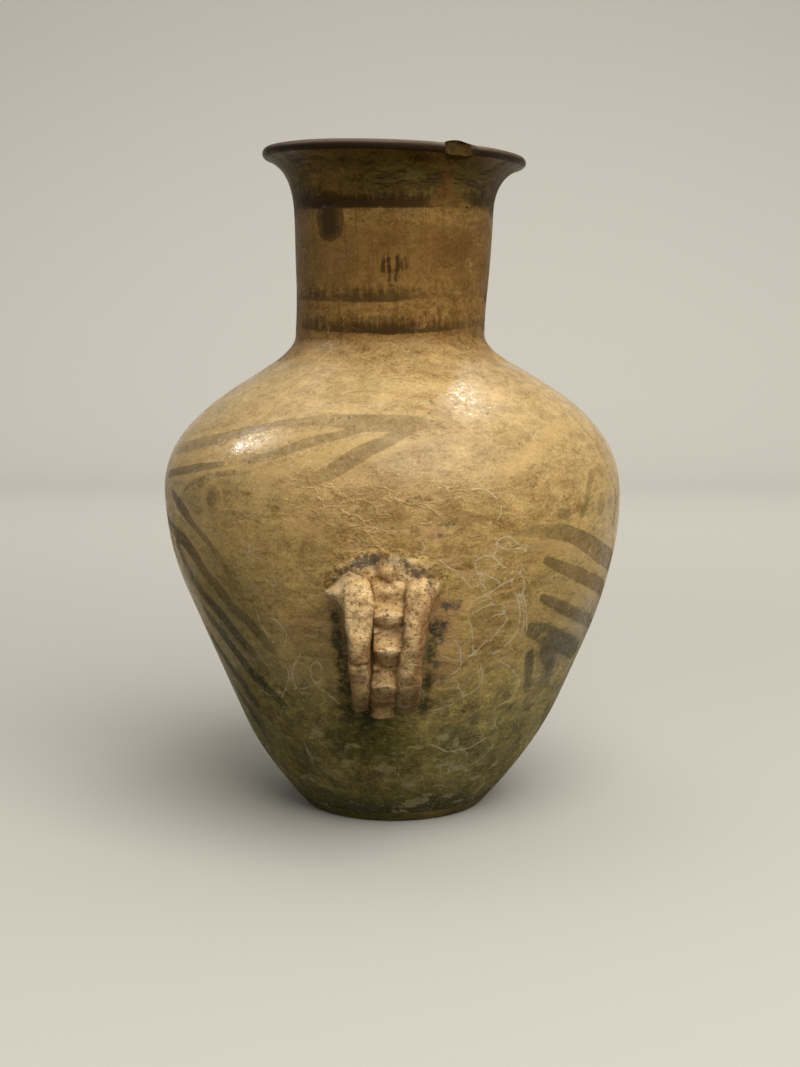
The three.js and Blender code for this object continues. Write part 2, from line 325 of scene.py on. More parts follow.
# Azimuth in degrees, nought at the front and growing to the viewer's right
def azimuth_of(points):
    return np.degrees(np.arctan2(points[:, 0], -points[:, 1]))


# Outward amount of the swells and hollows at an azimuth and a height
def hand_swell(azimuth, height):
    total = 0
    for centre, reach, level, spread, amount in HAND_SWELLS:
        near = amount * bell(turn_between(azimuth, centre) / reach)
        total = total + near * bell((height - level) / spread)
    return total * rise(height, SWELL_FROM, SWELL_FULL)


# Moves the points of a true form to where the hand left them
def hand_settled(points):
    height = points[:, 2]
    radius = np.hypot(points[:, 0], points[:, 1])
    ripple = RIPPLE_DEPTH * slow_waves(points, RIPPLE_SEED, RIPPLE_WAVES)
    ripple = ripple * rise(height, SWELL_FROM, SWELL_FULL)
    swell = (ripple + hand_swell(azimuth_of(points), height)) * rise(radius, 0, SWELL_FADE_RADIUS)
    settled = points.copy()
    settled[:, :2] += points[:, :2] / np.maximum(radius, MM)[:, None] * swell[:, None]
    settled[:, 0] += np.interp(height, LEAN_HEIGHTS, LEAN_SHIFTS)
    settled[:, 2] -= RIM_SLANT * points[:, 0] * rise(height, SLANT_FROM, SLANT_FULL)
    return settled


# Strokes are given where the photograph shows them: pixel across, pixel down, half width in mm, strength
# Dark strokes of the swirls on the body
DARK_STROKES = (
    ((178, 449, 2.8, .5), (205, 442, 2.9, .42), (232, 435, 2.4, .5), (252, 430, 2.1, .5),
     (277, 425, 1.9, .46), (300, 422, 1.9, .42), (320, 420, 2.0, .44), (337, 421, 2.8, .48),
     (355, 423, 3.5, .5), (375, 423, 3.7, .5), (394, 423, 3.6, .46), (410, 423, 3.2, .36),
     (428, 424, 2.2, .25), (450, 426, 1.4, .12)),
    ((170, 474, 2.0, .8), (190, 469, 2.1, .7), (210, 466, 1.8, .65), (224, 464, 1.4, .5)),
    ((242, 461, 1.0, .3), (256, 459, 1.6, .45), (270, 456, 2.1, .55), (290, 449, 2.4, .55),
     (310, 442, 2.4, .55), (330, 437, 2.1, .5), (348, 433, 1.7, .5), (366, 428, 1.5, .5)),
    ((292, 486, 1.4, .15), (315, 478, 2.9, .35), (335, 470, 3.6, .5), (350, 460, 3.8, .55),
     (367, 450, 3.4, .55), (385, 442, 2.8, .5), (400, 435, 2.0, .4), (412, 431, 1.2, .3)),
    ((173, 492, 1.6, .8), (178, 502, 3.4, 1), (185, 512, 3.4, 1), (191, 522, 2.0, .8),
     (206, 540, 2.0, .6), (224, 564, 2.2, .5), (236, 590, 1.6, .3)),
    ((185, 489, 1.2, .5), (197, 481, 1.3, .45), (210, 476, 1.4, .4), (232, 472, 1.3, .35),
     (252, 472, 1.1, .25)),
    ((169, 520, 3.0, .9), (186, 543, 4.2, .95), (196, 558, 4.0, .95), (204, 572, 3.4, .85),
     (214, 584, 3.6, .85), (224, 596, 3.6, .8), (231, 608, 3.2, .7), (246, 619, 3.6, .75),
     (256, 631, 3.6, .75), (272, 649, 2.8, .45)),
    ((178, 545, 3.4, .9), (188, 570, 4.0, .9), (200, 589, 3.4, .8), (210, 602, 3.6, .9),
     (222, 616, 3.8, .9), (238, 636, 3.4, .85), (256, 657, 2.8, .6), (266, 672, 2.0, .4)),
    ((206, 612, 3.2, .8), (222, 634, 3.4, .9), (238, 655, 3.6, 1), (253, 674, 3.6, 1),
     (268, 689, 3.2, 1), (284, 705, 2.4, .6)),
    ((214, 640, 3.2, .85), (228, 662, 3.2, .9), (244, 684, 3.4, .9), (256, 702, 2.8, .75)),
    ((238, 690, 3.4, .8), (249, 706, 3.6, .85), (260, 726, 3.0, .7), (272, 748, 2.4, .5)),
    ((516, 532, 2.0, .2), (534, 531, 2.8, .35), (552, 531, 3.5, .5), (570, 534, 4.0, .65),
     (584, 541, 4.6, .75), (600, 553, 5.2, .85), (612, 564, 5.0, .9)),
    ((592, 474, 2.0, .35), (589, 487, 2.4, .4), (586, 503, 2.2, .4), (582, 515, 2.0, .5)),
    ((614, 486, 1.8, .5), (616, 502, 2.2, .6), (613, 522, 2.2, .6)),
    ((570, 414, 1.0, .25), (584, 429, 1.2, .3), (597, 447, 1.2, .3), (606, 465, 1.4, .35)),
    ((561, 513, 2.6, .6), (567, 514, 2.6, .6)),
    ((546, 560, 1.8, .75), (556, 565, 2.8, .75), (570, 571, 3.2, .7), (587, 579, 3.7, .75),
     (606, 592, 3.6, .8)),
    ((543, 598, 2.2, .85), (557, 605, 2.9, .8), (576, 615, 3.2, .65), (593, 625, 3.0, .7)),
    ((531, 629, 3.6, .8), (542, 633, 5.0, .85), (557, 641, 5.6, .9), (575, 650, 4.8, .85)),
    ((545, 652, 4.2, .8), (551, 666, 3.6, .8), (547, 684, 2.4, .5)),
    ((529, 655, 2.8, .8), (529, 668, 3.2, .8), (527, 688, 2.2, .5)),
)

# Thin washes of paint, and broad strokes that have all but gone
WASH_STROKES = (
    ((200, 483, 3.0, .9), (222, 481, 3.4, .9), (246, 480, 3.0, .8)),
    ((186, 495, 2.6, 1), (210, 497, 3.4, .95), (232, 497, 3.4, .9), (246, 497, 2.8, .75)),
    ((202, 512, 2.8, .9), (222, 513, 3.4, .85), (244, 512, 2.8, .75)),
    ((213, 527, 2.6, .8), (228, 528, 3.2, .8), (242, 527, 2.4, .7)),
    ((224, 541, 2.2, .7), (232, 543, 2.6, .7), (239, 541, 2.0, .6)),
    ((198, 431, 1.4, .6), (220, 424, 1.6, .6), (238, 419, 1.4, .5)),
    ((330, 410, 4.0, .25), (370, 411, 4.5, .4), (410, 413, 4.5, .35), (450, 418, 4.0, .25)),
    ((367, 481, 2.4, .3), (385, 471, 3.2, .55), (400, 460, 3.6, .65), (417, 451, 3.6, .7),
     (440, 446, 3.4, .7), (457, 441, 2.6, .55), (470, 435, 1.8, .4)),
    ((477, 461, 2.6, .5), (495, 450, 3.6, .75), (512, 440, 3.6, .8), (527, 431, 3.0, .65),
     (548, 418, 2.4, .5)),
    ((470, 412, 3.0, .4), (495, 415, 3.2, .45), (522, 410, 3.0, .4)),
    ((470, 520, 4.0, .35), (500, 502, 5.0, .45), (527, 482, 5.0, .55), (556, 476, 5.0, .55),
     (580, 470, 4.0, .5)),
    ((520, 540, 3.0, .3), (540, 512, 3.4, .45), (552, 498, 3.4, .5)),
    ((592, 450, 3.0, .5), (604, 476, 3.4, .6), (611, 500, 3.0, .6)),
)

# Pale strokes left between the dark ones
PALE_STROKES = (
    ((180, 441, 1.0, .5), (210, 432, 1.2, .55), (242, 424, 1.2, .5), (270, 418, .8, .3)),
    ((174, 462, 1.6, .8), (197, 455, 1.8, .85), (222, 450, 1.8, .85), (243, 447, 1.6, .8),
     (267, 445, 1.6, .8), (290, 439, 1.6, .8), (315, 433, 1.2, .75), (345, 429, .8, .6)),
    ((177, 480, 1.2, .8), (197, 476, 1.3, .8), (212, 471, 1.3, .8), (235, 467, 1.2, .7),
     (257, 464, 1.0, .6)),
    ((254, 518, 1.8, .4), (256, 500, 2.5, .55), (262, 484, 3.0, .75), (275, 473, 3.0, .85),
     (295, 465, 2.8, .9), (320, 457, 2.6, .9), (345, 448, 2.2, .9), (367, 439, 1.6, .9),
     (386, 432, .8, .8)),
    ((335, 483, 1.6, .35), (355, 469, 1.8, .55), (375, 457, 1.8, .65), (395, 449, 1.6, .65),
     (410, 444, 1.6, .6), (435, 440, 1.4, .6), (455, 436, 1.2, .55), (470, 431, 1.0, .4)),
    ((490, 485, 2.6, .35), (510, 467, 3.4, .55), (530, 454, 3.8, .65), (547, 437, 3.5, .65),
     (565, 425, 2.8, .6), (583, 419, 2.0, .5)),
    ((236, 482, .5, .35), (233, 505, .5, .4), (232, 530, .5, .5), (234, 550, .5, .5)),
    ((180, 497, .7, .9), (188, 506, .8, .9), (200, 525, .8, .9), (217, 547, .8, .85),
     (230, 560, .7, .7)),
    ((172, 514, 1.2, .85), (190, 537, 1.5, .85), (210, 570, 1.6, .85), (227, 592, 1.4, .8),
     (245, 615, 1.0, .6)),
    ((186, 557, 1.0, .5), (200, 579, 1.1, .6), (214, 598, 1.1, .55), (232, 620, 1.0, .45),
     (250, 643, .9, .4)),
    ((532, 545, 2.5, .55), (557, 546, 3.3, .8), (580, 552, 3.4, .85), (597, 564, 3.2, .85),
     (609, 576, 3.0, .8)),
    ((545, 581, 2.0, .6), (570, 586, 2.2, .75), (597, 601, 2.0, .7)),
    ((545, 615, 2.0, .55), (565, 621, 2.2, .7), (583, 633, 2.0, .65)),
)

# Round eyes in the swirls: pixel across, pixel down, radius of the dot and of the thin pale ring in mm
EYES = (
    (212, 499, 4.0, 7.6),
    (601, 505, 4.0, 7.0),
)
EYE_LINE = 1.1 * MM
EYE_STRENGTH = 0.45
RING_STRENGTH = 1.0

# Turns that carry the left swirl round to the back, and the arms of the right one to its unseen side
BACK_SWIRL_TURN = 231
SIDE_ARMS_TURN = 105
SEEN_LIMIT = 84
SEEN_FADE = 16
SWIRL_LIMIT = 40
SIDE_DARK_ARMS = slice(0, 4)
SIDE_PALE_ARMS = slice(3, 6)
SIDE_WASH_ARMS = slice(6, 9)

# Bands and drips on the neck
NECK_STROKES = (
    ((296, 198, 4.4, .9), (310, 198, 4.8, 1), (350, 197, 4.9, 1), (390, 197, 4.9, 1),
     (420, 198, 4.6, .95), (436, 200, 3.4, .6)),
    ((466, 195, 3.4, .7), (476, 198, 4.6, .85), (494, 198, 4.6, .85)),
    ((300, 294, 3.0, .6), (320, 294, 3.2, .7), (350, 295, 3.4, .75), (380, 295, 3.5, .78),
     (402, 294, 3.3, .7), (414, 293, 2.8, .4), (440, 292, 2.6, .2), (490, 291, 2.8, .3)),
    ((304, 323, 3.0, .6), (320, 324, 3.4, .8), (350, 325, 3.7, .9), (390, 326, 4.0, .95),
     (420, 325, 3.8, .85), (450, 324, 3.2, .7), (470, 322, 2.8, .4), (490, 320, 2.8, .35)),
    ((384, 262, .7, .9), (383, 271, .7, .8)),
    ((390, 259, .8, .9), (390, 272, .8, .9)),
    ((396, 258, .8, .9), (396, 272, .8, .9)),
    ((402, 258, .8, .8), (403, 269, .8, .7)),
    ((408, 260, .7, .6), (408, 267, .7, .5)),
    ((386, 278, .9, .8), (388, 280, .9, .8)),
    ((394, 277, .9, .8), (396, 279, .9, .8)),
)
NECK_BANDS = ((300.5, 4.9), (257.5, 3.2), (244, 3.4))
BEHIND_STRENGTH = 0.7
BAND_OVERLAP = 8

# Run of paint below the top band: pixel across, pixel down, reaches across and up in mm, strength
DRIPS = ((328, 204, 7.6, 6, 1), (329, 218, 8.8, 8, 1), (330, 228, 7.6, 6.4, 1))

# Darker, redder places on the neck: pixel across, pixel down, reaches across and up in mm, strength
NECK_CLOUDS = (
    (452, 247, 12, 9, .9), (390, 246, 10, 8, .35), (428, 178, 8, 8, .9), (345, 180, 14, 6, .5),
    (395, 184, 12, 6, .5),
)

# Worn corner of the top band, given as the soot is
WORN_CORNER = ((447, 202, 12, 4.5, 1), (448, 192, 9, 5, 1), (449, 178, 5, 7, 1))

# Soot and mineral stain near the handle: pixel across, pixel down, reaches across and up in mm, strength
SOOT_PATCHES = (
    (370, 559, 6, 3, .9), (357, 564, 6, 3, .8), (345, 571, 5, 2.4, .6), (335, 579, 3, 2.2, .5),
    (380, 558, 3, 3, .7), (405, 563, 4, 2.6, .7), (418, 571, 5, 2.8, .8), (429, 584, 3, 4, .6),
    (448, 604, 3, 4, .9), (458, 606, 2, 4, .6), (444, 622, 4, 3, .9), (438, 640, 3, 4, .8),
    (441, 632, 5, 5, .5), (433, 663, 4, 5, .6), (440, 680, 4, 4, .4), (436, 536, 4, 1.4, .7),
    (449, 524, 5, 1.2, .7), (333, 600, 3, 2, .4),
)

# Pale ash smeared over the root of the handle, given as the soot is
ASH_PATCHES = (
    (334, 588, 4, 2.4, .8), (345, 582, 6, 2.8, 1), (360, 573, 6, 3.2, .9), (376, 566, 5, 3, .8),
    (392, 562, 7, 3.4, .9), (404, 574, 6, 3, .7), (420, 582, 5, 3, .6),
)

# Dark soil caught behind the handle, with painted shade where the handle shades the wall beside and below
# it, given as the soot is
SOIL_AND_SHADE_PATCHES = (
    (335, 618, 3, 5, .9), (339, 640, 5, 9, 1), (342, 664, 5, 9, 1), (345, 688, 5, 9, 1),
    (350, 708, 6, 6, .9), (436, 628, 5, 6, 1), (431, 650, 4, 9, .9), (428, 680, 4, 9, .8),
    (424, 704, 6, 7, .9), (372, 640, 14, 22, .7), (410, 640, 12, 22, .7), (372, 716, 14, 7, .8),
)

# Broad dull stretches where damp and painted shade have darkened the slip, given as the soot is
DAMP_AND_SHADE_PATCHES = (
    (186, 545, 30, 34, .45), (222, 605, 36, 36, .75), (258, 690, 34, 30, .6), (300, 745, 30, 24, .35),
    (370, 738, 26, 15, 1), (350, 722, 16, 10, .7), (420, 700, 18, 14, .35), (600, 620, 24, 34, .5),
    (565, 560, 30, 40, .25), (512, 560, 34, 44, .3),
)

# Flakes lost near the foot, given as the soot is
FLAKES = (
    (412, 803, 6, 3.2, 1), (421, 801, 5, 3, 1), (428, 795, 3.4, 1.8, 1), (443, 737, 4, 2.2, 1),
    (420, 747, 5, 1.8, .9), (446, 764, 6, 1.8, 1), (458, 767, 6, 1.8, 1), (468, 770, 4, 1.6, .9),
    (463, 748, 3, 2, .9), (456, 742, 2, 4, .8), (516, 763, 4, 5, .9), (474, 778, 7, 1.8, .8),
    (385, 768, 7, 4, .8), (352, 745, 8, 2.5, .7), (318, 730, 5, 5, .7), (330, 772, 6, 2.4, .7),
    (492, 728, 4, 3, .7), (410, 785, 6, 2.4, .7), (506, 790, 6, 2.4, .8), (450, 795, 5, 1.6, .9),
    (459, 801, 5, 1.6, .9), (436, 779, 4, 2, .7),
)

# Thin pale marks of roots: pixels across and down along each
ROOT_MARKS = (
    ((474, 562), (479, 577), (485, 590), (495, 607)),
    ((475, 560), (481, 556), (492, 557), (502, 565), (512, 571)),
    ((495, 552), (497, 540), (507, 536), (517, 542), (526, 554), (525, 565), (517, 574), (505, 582),
     (490, 592), (470, 603)),
    ((480, 572), (487, 577), (496, 579)),
    ((510, 585), (517, 597), (521, 612), (520, 627), (512, 640), (502, 649), (492, 655)),
    ((521, 575), (526, 585), (522, 595), (527, 606), (528, 630), (524, 637)),
    ((470, 605), (469, 620), (472, 637), (473, 652), (480, 665), (484, 677), (480, 687), (467, 696),
     (460, 690), (454, 679)),
    ((467, 696), (447, 706), (427, 711)),
    ((480, 670), (470, 677), (460, 680)),
    ((485, 622), (495, 615), (505, 614), (510, 620), (505, 625), (497, 631), (490, 640)),
    ((470, 490), (485, 489), (495, 495), (500, 505), (502, 515), (497, 520)),
    ((310, 666), (312, 682), (320, 685), (323, 671), (318, 660), (311, 665)),
    ((285, 665), (290, 677), (287, 687), (281, 697)),
    ((272, 692), (300, 689), (312, 686), (325, 692), (340, 705)),
    ((270, 617), (280, 622), (287, 632), (285, 645)),
    ((256, 602), (258, 617), (265, 632), (272, 642)),
    ((455, 640), (462, 652), (461, 668), (450, 676)),
    ((488, 540), (500, 548), (514, 550), (527, 545)),
    ((476, 612), (486, 604), (499, 603), (508, 610)),
    ((440, 655), (452, 661), (466, 659), (478, 650), (486, 640)),
    ((300, 655), (292, 668), (294, 684), (303, 694)),
    ((440, 560), (450, 570), (462, 574), (472, 590)),
    ((500, 660), (512, 668), (520, 682), (512, 700), (498, 706)),
    ((430, 745), (450, 752), (470, 748), (486, 738)),
)

# Maps of the strokes round the jar: how far they reach and how fine they are
FIELD_REACH = 16 * MM
ROOT_REACH = 5 * MM
FIELD_COLUMNS = 1080
FIELD_ROW = 0.75 * MM

# Steps along the strokes in mm, the rounds that smooth a stroke, and shares repeated on the far side
STROKE_STEP = 1.0
ROOT_STEP = 0.3
SMOOTHING_ROUNDS = 6
FAR_SOOT = 0.6
FAR_CLOUDS = 0.5

# Rubbed front of the body and its faint side: azimuths and reaches in degrees, heights and spread in mm
WORN_AZIMUTH = 3
WORN_REACH = 27
WORN_BELOW = (60, 95)
WORN_ABOVE = (168, 184)
SIDE_WEAR = 0.5
SIDE_WEAR_AZIMUTH = 20
SIDE_WEAR_REACH = 16
SIDE_WEAR_HEIGHT = 172
SIDE_WEAR_SPREAD = 14


# Azimuth and height of the point of the wall that a pixel of the photograph shows
def seen_on_wall(across, down):
    aside = (across - IMAGE_WIDTH / 2) / FOCAL_PIXELS
    drop = (down - IMAGE_HEIGHT / 2) / FOCAL_PIXELS
    ahead_step = math.cos(CAMERA_PITCH) - drop * math.sin(CAMERA_PITCH)
    fall_step = math.sin(CAMERA_PITCH) + drop * math.cos(CAMERA_PITCH)
    depth = np.linspace(SIGHT_NEAR, SIGHT_FAR, SIGHT_STEPS)
    y = CAMERA_PLACE[1] + ahead_step * depth
    z = CAMERA_PLACE[2] - fall_step * depth
    x = CAMERA_PLACE[0] + aside * depth - np.interp(z, LEAN_HEIGHTS, LEAN_SHIFTS)
    z = z + RIM_SLANT * x * rise(z, SLANT_FROM, SLANT_FULL)
    azimuth = np.degrees(np.arctan2(x, -y))
    clear = np.hypot(x, y) - wall_radius(z) - hand_swell(azimuth, z)
    reached = np.argmax(clear <= 0) if (clear <= 0).any() else np.argmin(clear)
    return azimuth[reached], z[reached] / MM


# Rows of azimuth, height, half width and strength along a stroke, a step in mm apart
def stroke_samples(stroke, step=STROKE_STEP):
    marks = np.array([(*seen_on_wall(mark[0], mark[1]), *mark[2:]) for mark in stroke], dtype=float)
    across = np.diff(marks[:, 0]) * math.radians(1) * BELLY_RADIUS / MM
    places = np.concatenate([[0], np.cumsum(np.hypot(across, np.diff(marks[:, 1])))])
    even = np.linspace(0, places[-1], max(3, int(places[-1] / step)))
    sampled = along_chain(marks, places, even)
    for _ in range(int(SMOOTHING_ROUNDS / step ** 2)):
        sampled[1:-1] = (sampled[:-2] + sampled[1:-1] * 2 + sampled[2:]) / 4
    return sampled


FIELD_AZIMUTHS = np.linspace(-180, 180, FIELD_COLUMNS, endpoint=False)
FIELD_HEIGHTS = np.arange(0, JAR_HEIGHT + FIELD_ROW, FIELD_ROW)
FIELD_RADII = wall_radius(FIELD_HEIGHTS)


# Map round the jar of the signed distance to strokes, and of which sample is nearest
def stroke_field(samples, field_reach=FIELD_REACH):
    nearest = np.full((len(FIELD_HEIGHTS), FIELD_COLUMNS), field_reach)
    owner = np.full(nearest.shape, -1)
    for index, (azimuth, height, half_width, _) in enumerate(samples):
        reach = field_reach + half_width * MM
        low = max(0, int((height * MM - reach) / FIELD_ROW))
        high = int((height * MM + reach) / FIELD_ROW) + 2
        radii = FIELD_RADII[low:high]
        middle = int(round((azimuth + 180) / 360 * FIELD_COLUMNS))
        spread = int(reach / radii.min() / (2 * math.pi) * FIELD_COLUMNS) + 1
        columns = np.arange(middle - spread, middle + spread + 1) % FIELD_COLUMNS
        aside = turn_between(FIELD_AZIMUTHS[columns], azimuth)[None, :] * math.radians(1) * radii[:, None]
        gap = np.hypot(aside, FIELD_HEIGHTS[low:high, None] - height * MM) - half_width * MM
        window = np.ix_(np.arange(low, low + len(radii)), columns)
        closer = gap < nearest[window]
        nearest[window] = np.where(closer, gap, nearest[window])
        owner[window] = np.where(closer, index, owner[window])
    return nearest, owner


# Map of the strength of the nearest sample
def owner_strength(samples, owner):
    return np.where(owner < 0, 0, samples[owner, 3])


# Maps of how far aside of the nearest sample, and how far above it, each place lies
def owner_offsets(samples, owner):
    aside = turn_between(FIELD_AZIMUTHS[None, :], samples[owner, 0]) * math.radians(1) * FIELD_RADII[:, None]
    above = FIELD_HEIGHTS[:, None] - samples[owner, 1] * MM
    return np.where(owner < 0, FIELD_REACH, aside), np.where(owner < 0, FIELD_REACH, above)


# Value of a map at points of the wall
def read_field(field, points):
    across = (azimuth_of(points) + 180) / 360 * FIELD_COLUMNS
    up = np.clip(points[:, 2] / FIELD_ROW, 0, len(FIELD_HEIGHTS) - 1.001)
    column = np.floor(across).astype(int)
    row = np.floor(up).astype(int)
    right = across - column
    above = up - row
    first = column % FIELD_COLUMNS
    second = (column + 1) % FIELD_COLUMNS
    lower = field[row, first] * (1 - right) + field[row, second] * right
    upper = field[row + 1, first] * (1 - right) + field[row + 1, second] * right
    return lower * (1 - above) + upper * above


# Strokes turned round the jar, kept only on the side that the camera does not see
def turned_strokes(samples, turn):
    turned = samples.copy()
    turned[:, 0] = turn_between(samples[:, 0] + turn, 0)
    turned[:, 3] *= rise(np.abs(turned[:, 0]), SEEN_LIMIT, SEEN_LIMIT + SEEN_FADE)
    return turned[np.abs(turned[:, 0]) > SEEN_LIMIT]


# All samples of the body's strokes, with their repeats on the unseen side
def body_samples(strokes, side_arms):
    front = [stroke_samples(stroke) for stroke in strokes]
    whole = np.concatenate(front)
    swirl = whole[whole[:, 0] < SWIRL_LIMIT]
    side = np.concatenate(front[side_arms])
    behind = [turned_strokes(swirl, BACK_SWIRL_TURN), turned_strokes(side, SIDE_ARMS_TURN)]
    return np.concatenate([whole] + behind)


# Bands of the neck carried on round its unseen side
def neck_band_samples():
    behind = np.arange(SEEN_LIMIT - BAND_OVERLAP, 360 - SEEN_LIMIT + BAND_OVERLAP)
    rows = []
    for height, half_width in NECK_BANDS:
        rows += [(turn_between(azimuth, 0), height, half_width, BEHIND_STRENGTH) for azimuth in behind]
    return np.array(rows)


eye_places = [(*seen_on_wall(across, down), dot, ring) for across, down, dot, ring in EYES]
eye_places.append((eye_places[0][0] + BACK_SWIRL_TURN, *eye_places[0][1:]))


# Maps of the distance to a set of the body's strokes and of their strength
def body_maps(strokes, side_arms):
    samples = body_samples(strokes, side_arms)
    field, owner = stroke_field(samples)
    return field, owner_strength(samples, owner)


dark_field, dark_strength = body_maps(DARK_STROKES, SIDE_DARK_ARMS)
wash_field, wash_strength = body_maps(WASH_STROKES, SIDE_WASH_ARMS)
pale_field, pale_strength = body_maps(PALE_STROKES, SIDE_PALE_ARMS)
for azimuth, height, dot, ring in eye_places:
    beside = turn_between(FIELD_AZIMUTHS, azimuth)[None, :] * math.radians(1) * FIELD_RADII[:, None]
    from_eye = np.hypot(beside, FIELD_HEIGHTS[:, None] - height * MM)
    ring_line = np.abs(from_eye - ring * MM) - EYE_LINE
    in_dot = from_eye - dot * MM
    dark_strength = np.where(in_dot < dark_field, EYE_STRENGTH, dark_strength)
    dark_field = np.minimum(np.maximum(dark_field, EYE_LINE * 2 - ring_line), in_dot)
    wash_field = np.maximum(wash_field, -ring_line)
    pale_strength = np.where(ring_line < pale_field, RING_STRENGTH, pale_strength)
    pale_field = np.minimum(pale_field, ring_line)
neck_samples = np.concatenate([stroke_samples(stroke) for stroke in NECK_STROKES] + [neck_band_samples()])
neck_field, neck_owner = stroke_field(neck_samples)
neck_strength = owner_strength(neck_samples, neck_owner)
neck_above = owner_offsets(neck_samples, neck_owner)[1]
root_strokes = [[(*spot, 0, 1) for spot in mark] for mark in ROOT_MARKS]
root_samples = np.concatenate([stroke_samples(stroke, ROOT_STEP) for stroke in root_strokes])
root_field, root_owner = stroke_field(root_samples, ROOT_REACH)
root_aside, root_above = owner_offsets(root_samples, root_owner)


# Soft patches by kind: where the photograph shows them, and their share that is repeated on the far side
PATCHES = {
    "soot": (SOOT_PATCHES, FAR_SOOT),
    "ash": (ASH_PATCHES, FAR_SOOT),
    "soil_and_shade": (SOIL_AND_SHADE_PATCHES, 1),
    "flake": (FLAKES, 1),
    "damp_and_shade": (DAMP_AND_SHADE_PATCHES, 1),
    "cloud": (NECK_CLOUDS, FAR_CLOUDS),
    "corner": (WORN_CORNER, 0),
    "drip": (DRIPS, 0),
}
patch_places = {
    kind: [(*seen_on_wall(across, down), *rest) for across, down, *rest in patches]
    for kind, (patches, _) in PATCHES.items()
}


# Marks of soft patches of the given kinds at points of the clay
def patch_marks(points, *kinds):
    azimuth = azimuth_of(points)
    radius = wall_radius(points[:, 2])
    marks = {kind: np.zeros(len(points)) for kind in kinds}
    for kind in kinds:
        far_share = PATCHES[kind][1]
        for centre, height, reach, spread, strength in patch_places[kind]:
            up = bell((points[:, 2] / MM - height) / spread)
            near = bell(turn_between(azimuth, centre) * math.radians(1) * radius / MM / reach)
            far = bell(turn_between(azimuth, 180 - centre) * math.radians(1) * radius / MM / reach)
            marks[kind] = np.maximum(marks[kind], strength * up * np.maximum(near, far_share * far))
    return marks


# Rubbed front of the body, where the paint is nearly gone
def front_wear(points):
    azimuth = azimuth_of(points)
    height = points[:, 2] / MM
    centre = bell((azimuth - WORN_AZIMUTH) / WORN_REACH) * rise(height, *WORN_BELOW)
    centre = centre * (1 - rise(height, *WORN_ABOVE))
    side = SIDE_WEAR * bell((azimuth - SIDE_WEAR_AZIMUTH) / SIDE_WEAR_REACH)
    return np.maximum(centre, side * bell((height - SIDE_WEAR_HEIGHT) / SIDE_WEAR_SPREAD))


# Creates the mesh, shapes its points, and stores what the finishes read from it
def finished_piece(name, form, shaped, finish, carry, node):
    mesh = bpy.data.meshes.new(name)
    form.to_mesh(mesh)
    form.free()
    points = np.empty(len(mesh.vertices) * 3)
    mesh.vertices.foreach_get("co", points)
    points, marks = shaped(points.reshape(-1, 3))
    mesh.vertices.foreach_set("co", points.ravel())
    for mark, values in marks.items():
        kept = mesh.attributes.new(mark, "FLOAT", "POINT")
        kept.data.foreach_set("value", np.asarray(values, dtype=np.float32))
    mesh.update()
    mesh.shade_smooth()
    mesh.set_sharp_from_angle(angle=SHARP_ANGLE)
    mesh.materials.append(finish)
    piece = bpy.data.objects.new(name, mesh)
    bpy.context.collection.objects.link(piece)
    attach(piece, carry)
    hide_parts(node)


# Parts of one kind among the results of a mesh operator
def of_kind(parts, kind):
    return [part for part in parts if isinstance(part, kind)]


# Even steps between two distances, with one fine row at each end
def fine_rows(start, end, row):
    lead = math.copysign(SEAM_ROW, end - start)
    count = max(1, math.ceil(abs(end - start) / row))
    return np.concatenate([[start], np.linspace(start + lead, end - lead, count + 1), [end]])


# Turns a chain of radius and height round the jar's axis
def turned_form(outline, within, closed):
    form = bmesh.new()
    inner_side = form.verts.layers.float.new("inside")
    chain = []
    for (radius, height), inside in zip(outline, within):
        vert = form.verts.new((0, -radius, height))
        vert[inner_side] = inside
        chain.append(vert)
    ends = chain[1:] + chain[:1] if closed else chain[1:]
    edges = [form.edges.new(pair) for pair in zip(chain, ends)]
    sector = 2 * math.pi / ROUND_SECTORS
    bmesh.ops.spin(
        form, geom=chain + edges, cent=(0, 0, 0), axis=(0, 0, 1), angle=sector,
        steps=ROUND_STEPS // ROUND_SECTORS, use_merge=False,
    )
    turned = 1
    while turned < ROUND_SECTORS:
        copied = bmesh.ops.duplicate(form, geom=form.verts[:] + form.edges[:] + form.faces[:])["geom"]
        verts = of_kind(copied, bmesh.types.BMVert)
        round_axis = Matrix.Rotation(sector * turned, 3, "Z")
        bmesh.ops.rotate(form, verts=verts, cent=(0, 0, 0), matrix=round_axis)
        turned *= 2
    bmesh.ops.remove_doubles(form, verts=form.verts, dist=MERGE_DISTANCE)
    bmesh.ops.recalc_face_normals(form, faces=form.faces)
    return form


# Outline of one strip of the wall between its lower and upper joints
def strip_outline(lower, upper):
    outside = outside_point(fine_rows(lower[0], upper[0], OUTSIDE_ROW))
    inside = inside_point(fine_rows(upper[1], lower[1], INSIDE_ROW))
    within = np.concatenate([np.zeros(len(outside)), np.ones(len(inside))])
    return np.concatenate([outside, inside]), within


# Outline of the rim, whose lip is rounded over
def rim_outline(lower):
    outside = outside_point(fine_rows(lower[0], LIP_AT, OUTSIDE_ROW / 2))
    angles = np.linspace(LIP_SLOPE - 90, LIP_SLOPE + 90, LIP_ROWS + 1)[1:-1]
    lip = np.array([ahead(LIP_CENTRE, angle, LIP_RADIUS) for angle in angles])
    inside = inside_point(fine_rows(LIP_AT, lower[1], OUTSIDE_ROW))
    within = np.concatenate([np.zeros(len(outside) + len(lip)), rise(np.arange(len(inside)), *BARE_ROWS)])
    return np.concatenate([outside, lip, inside]), within


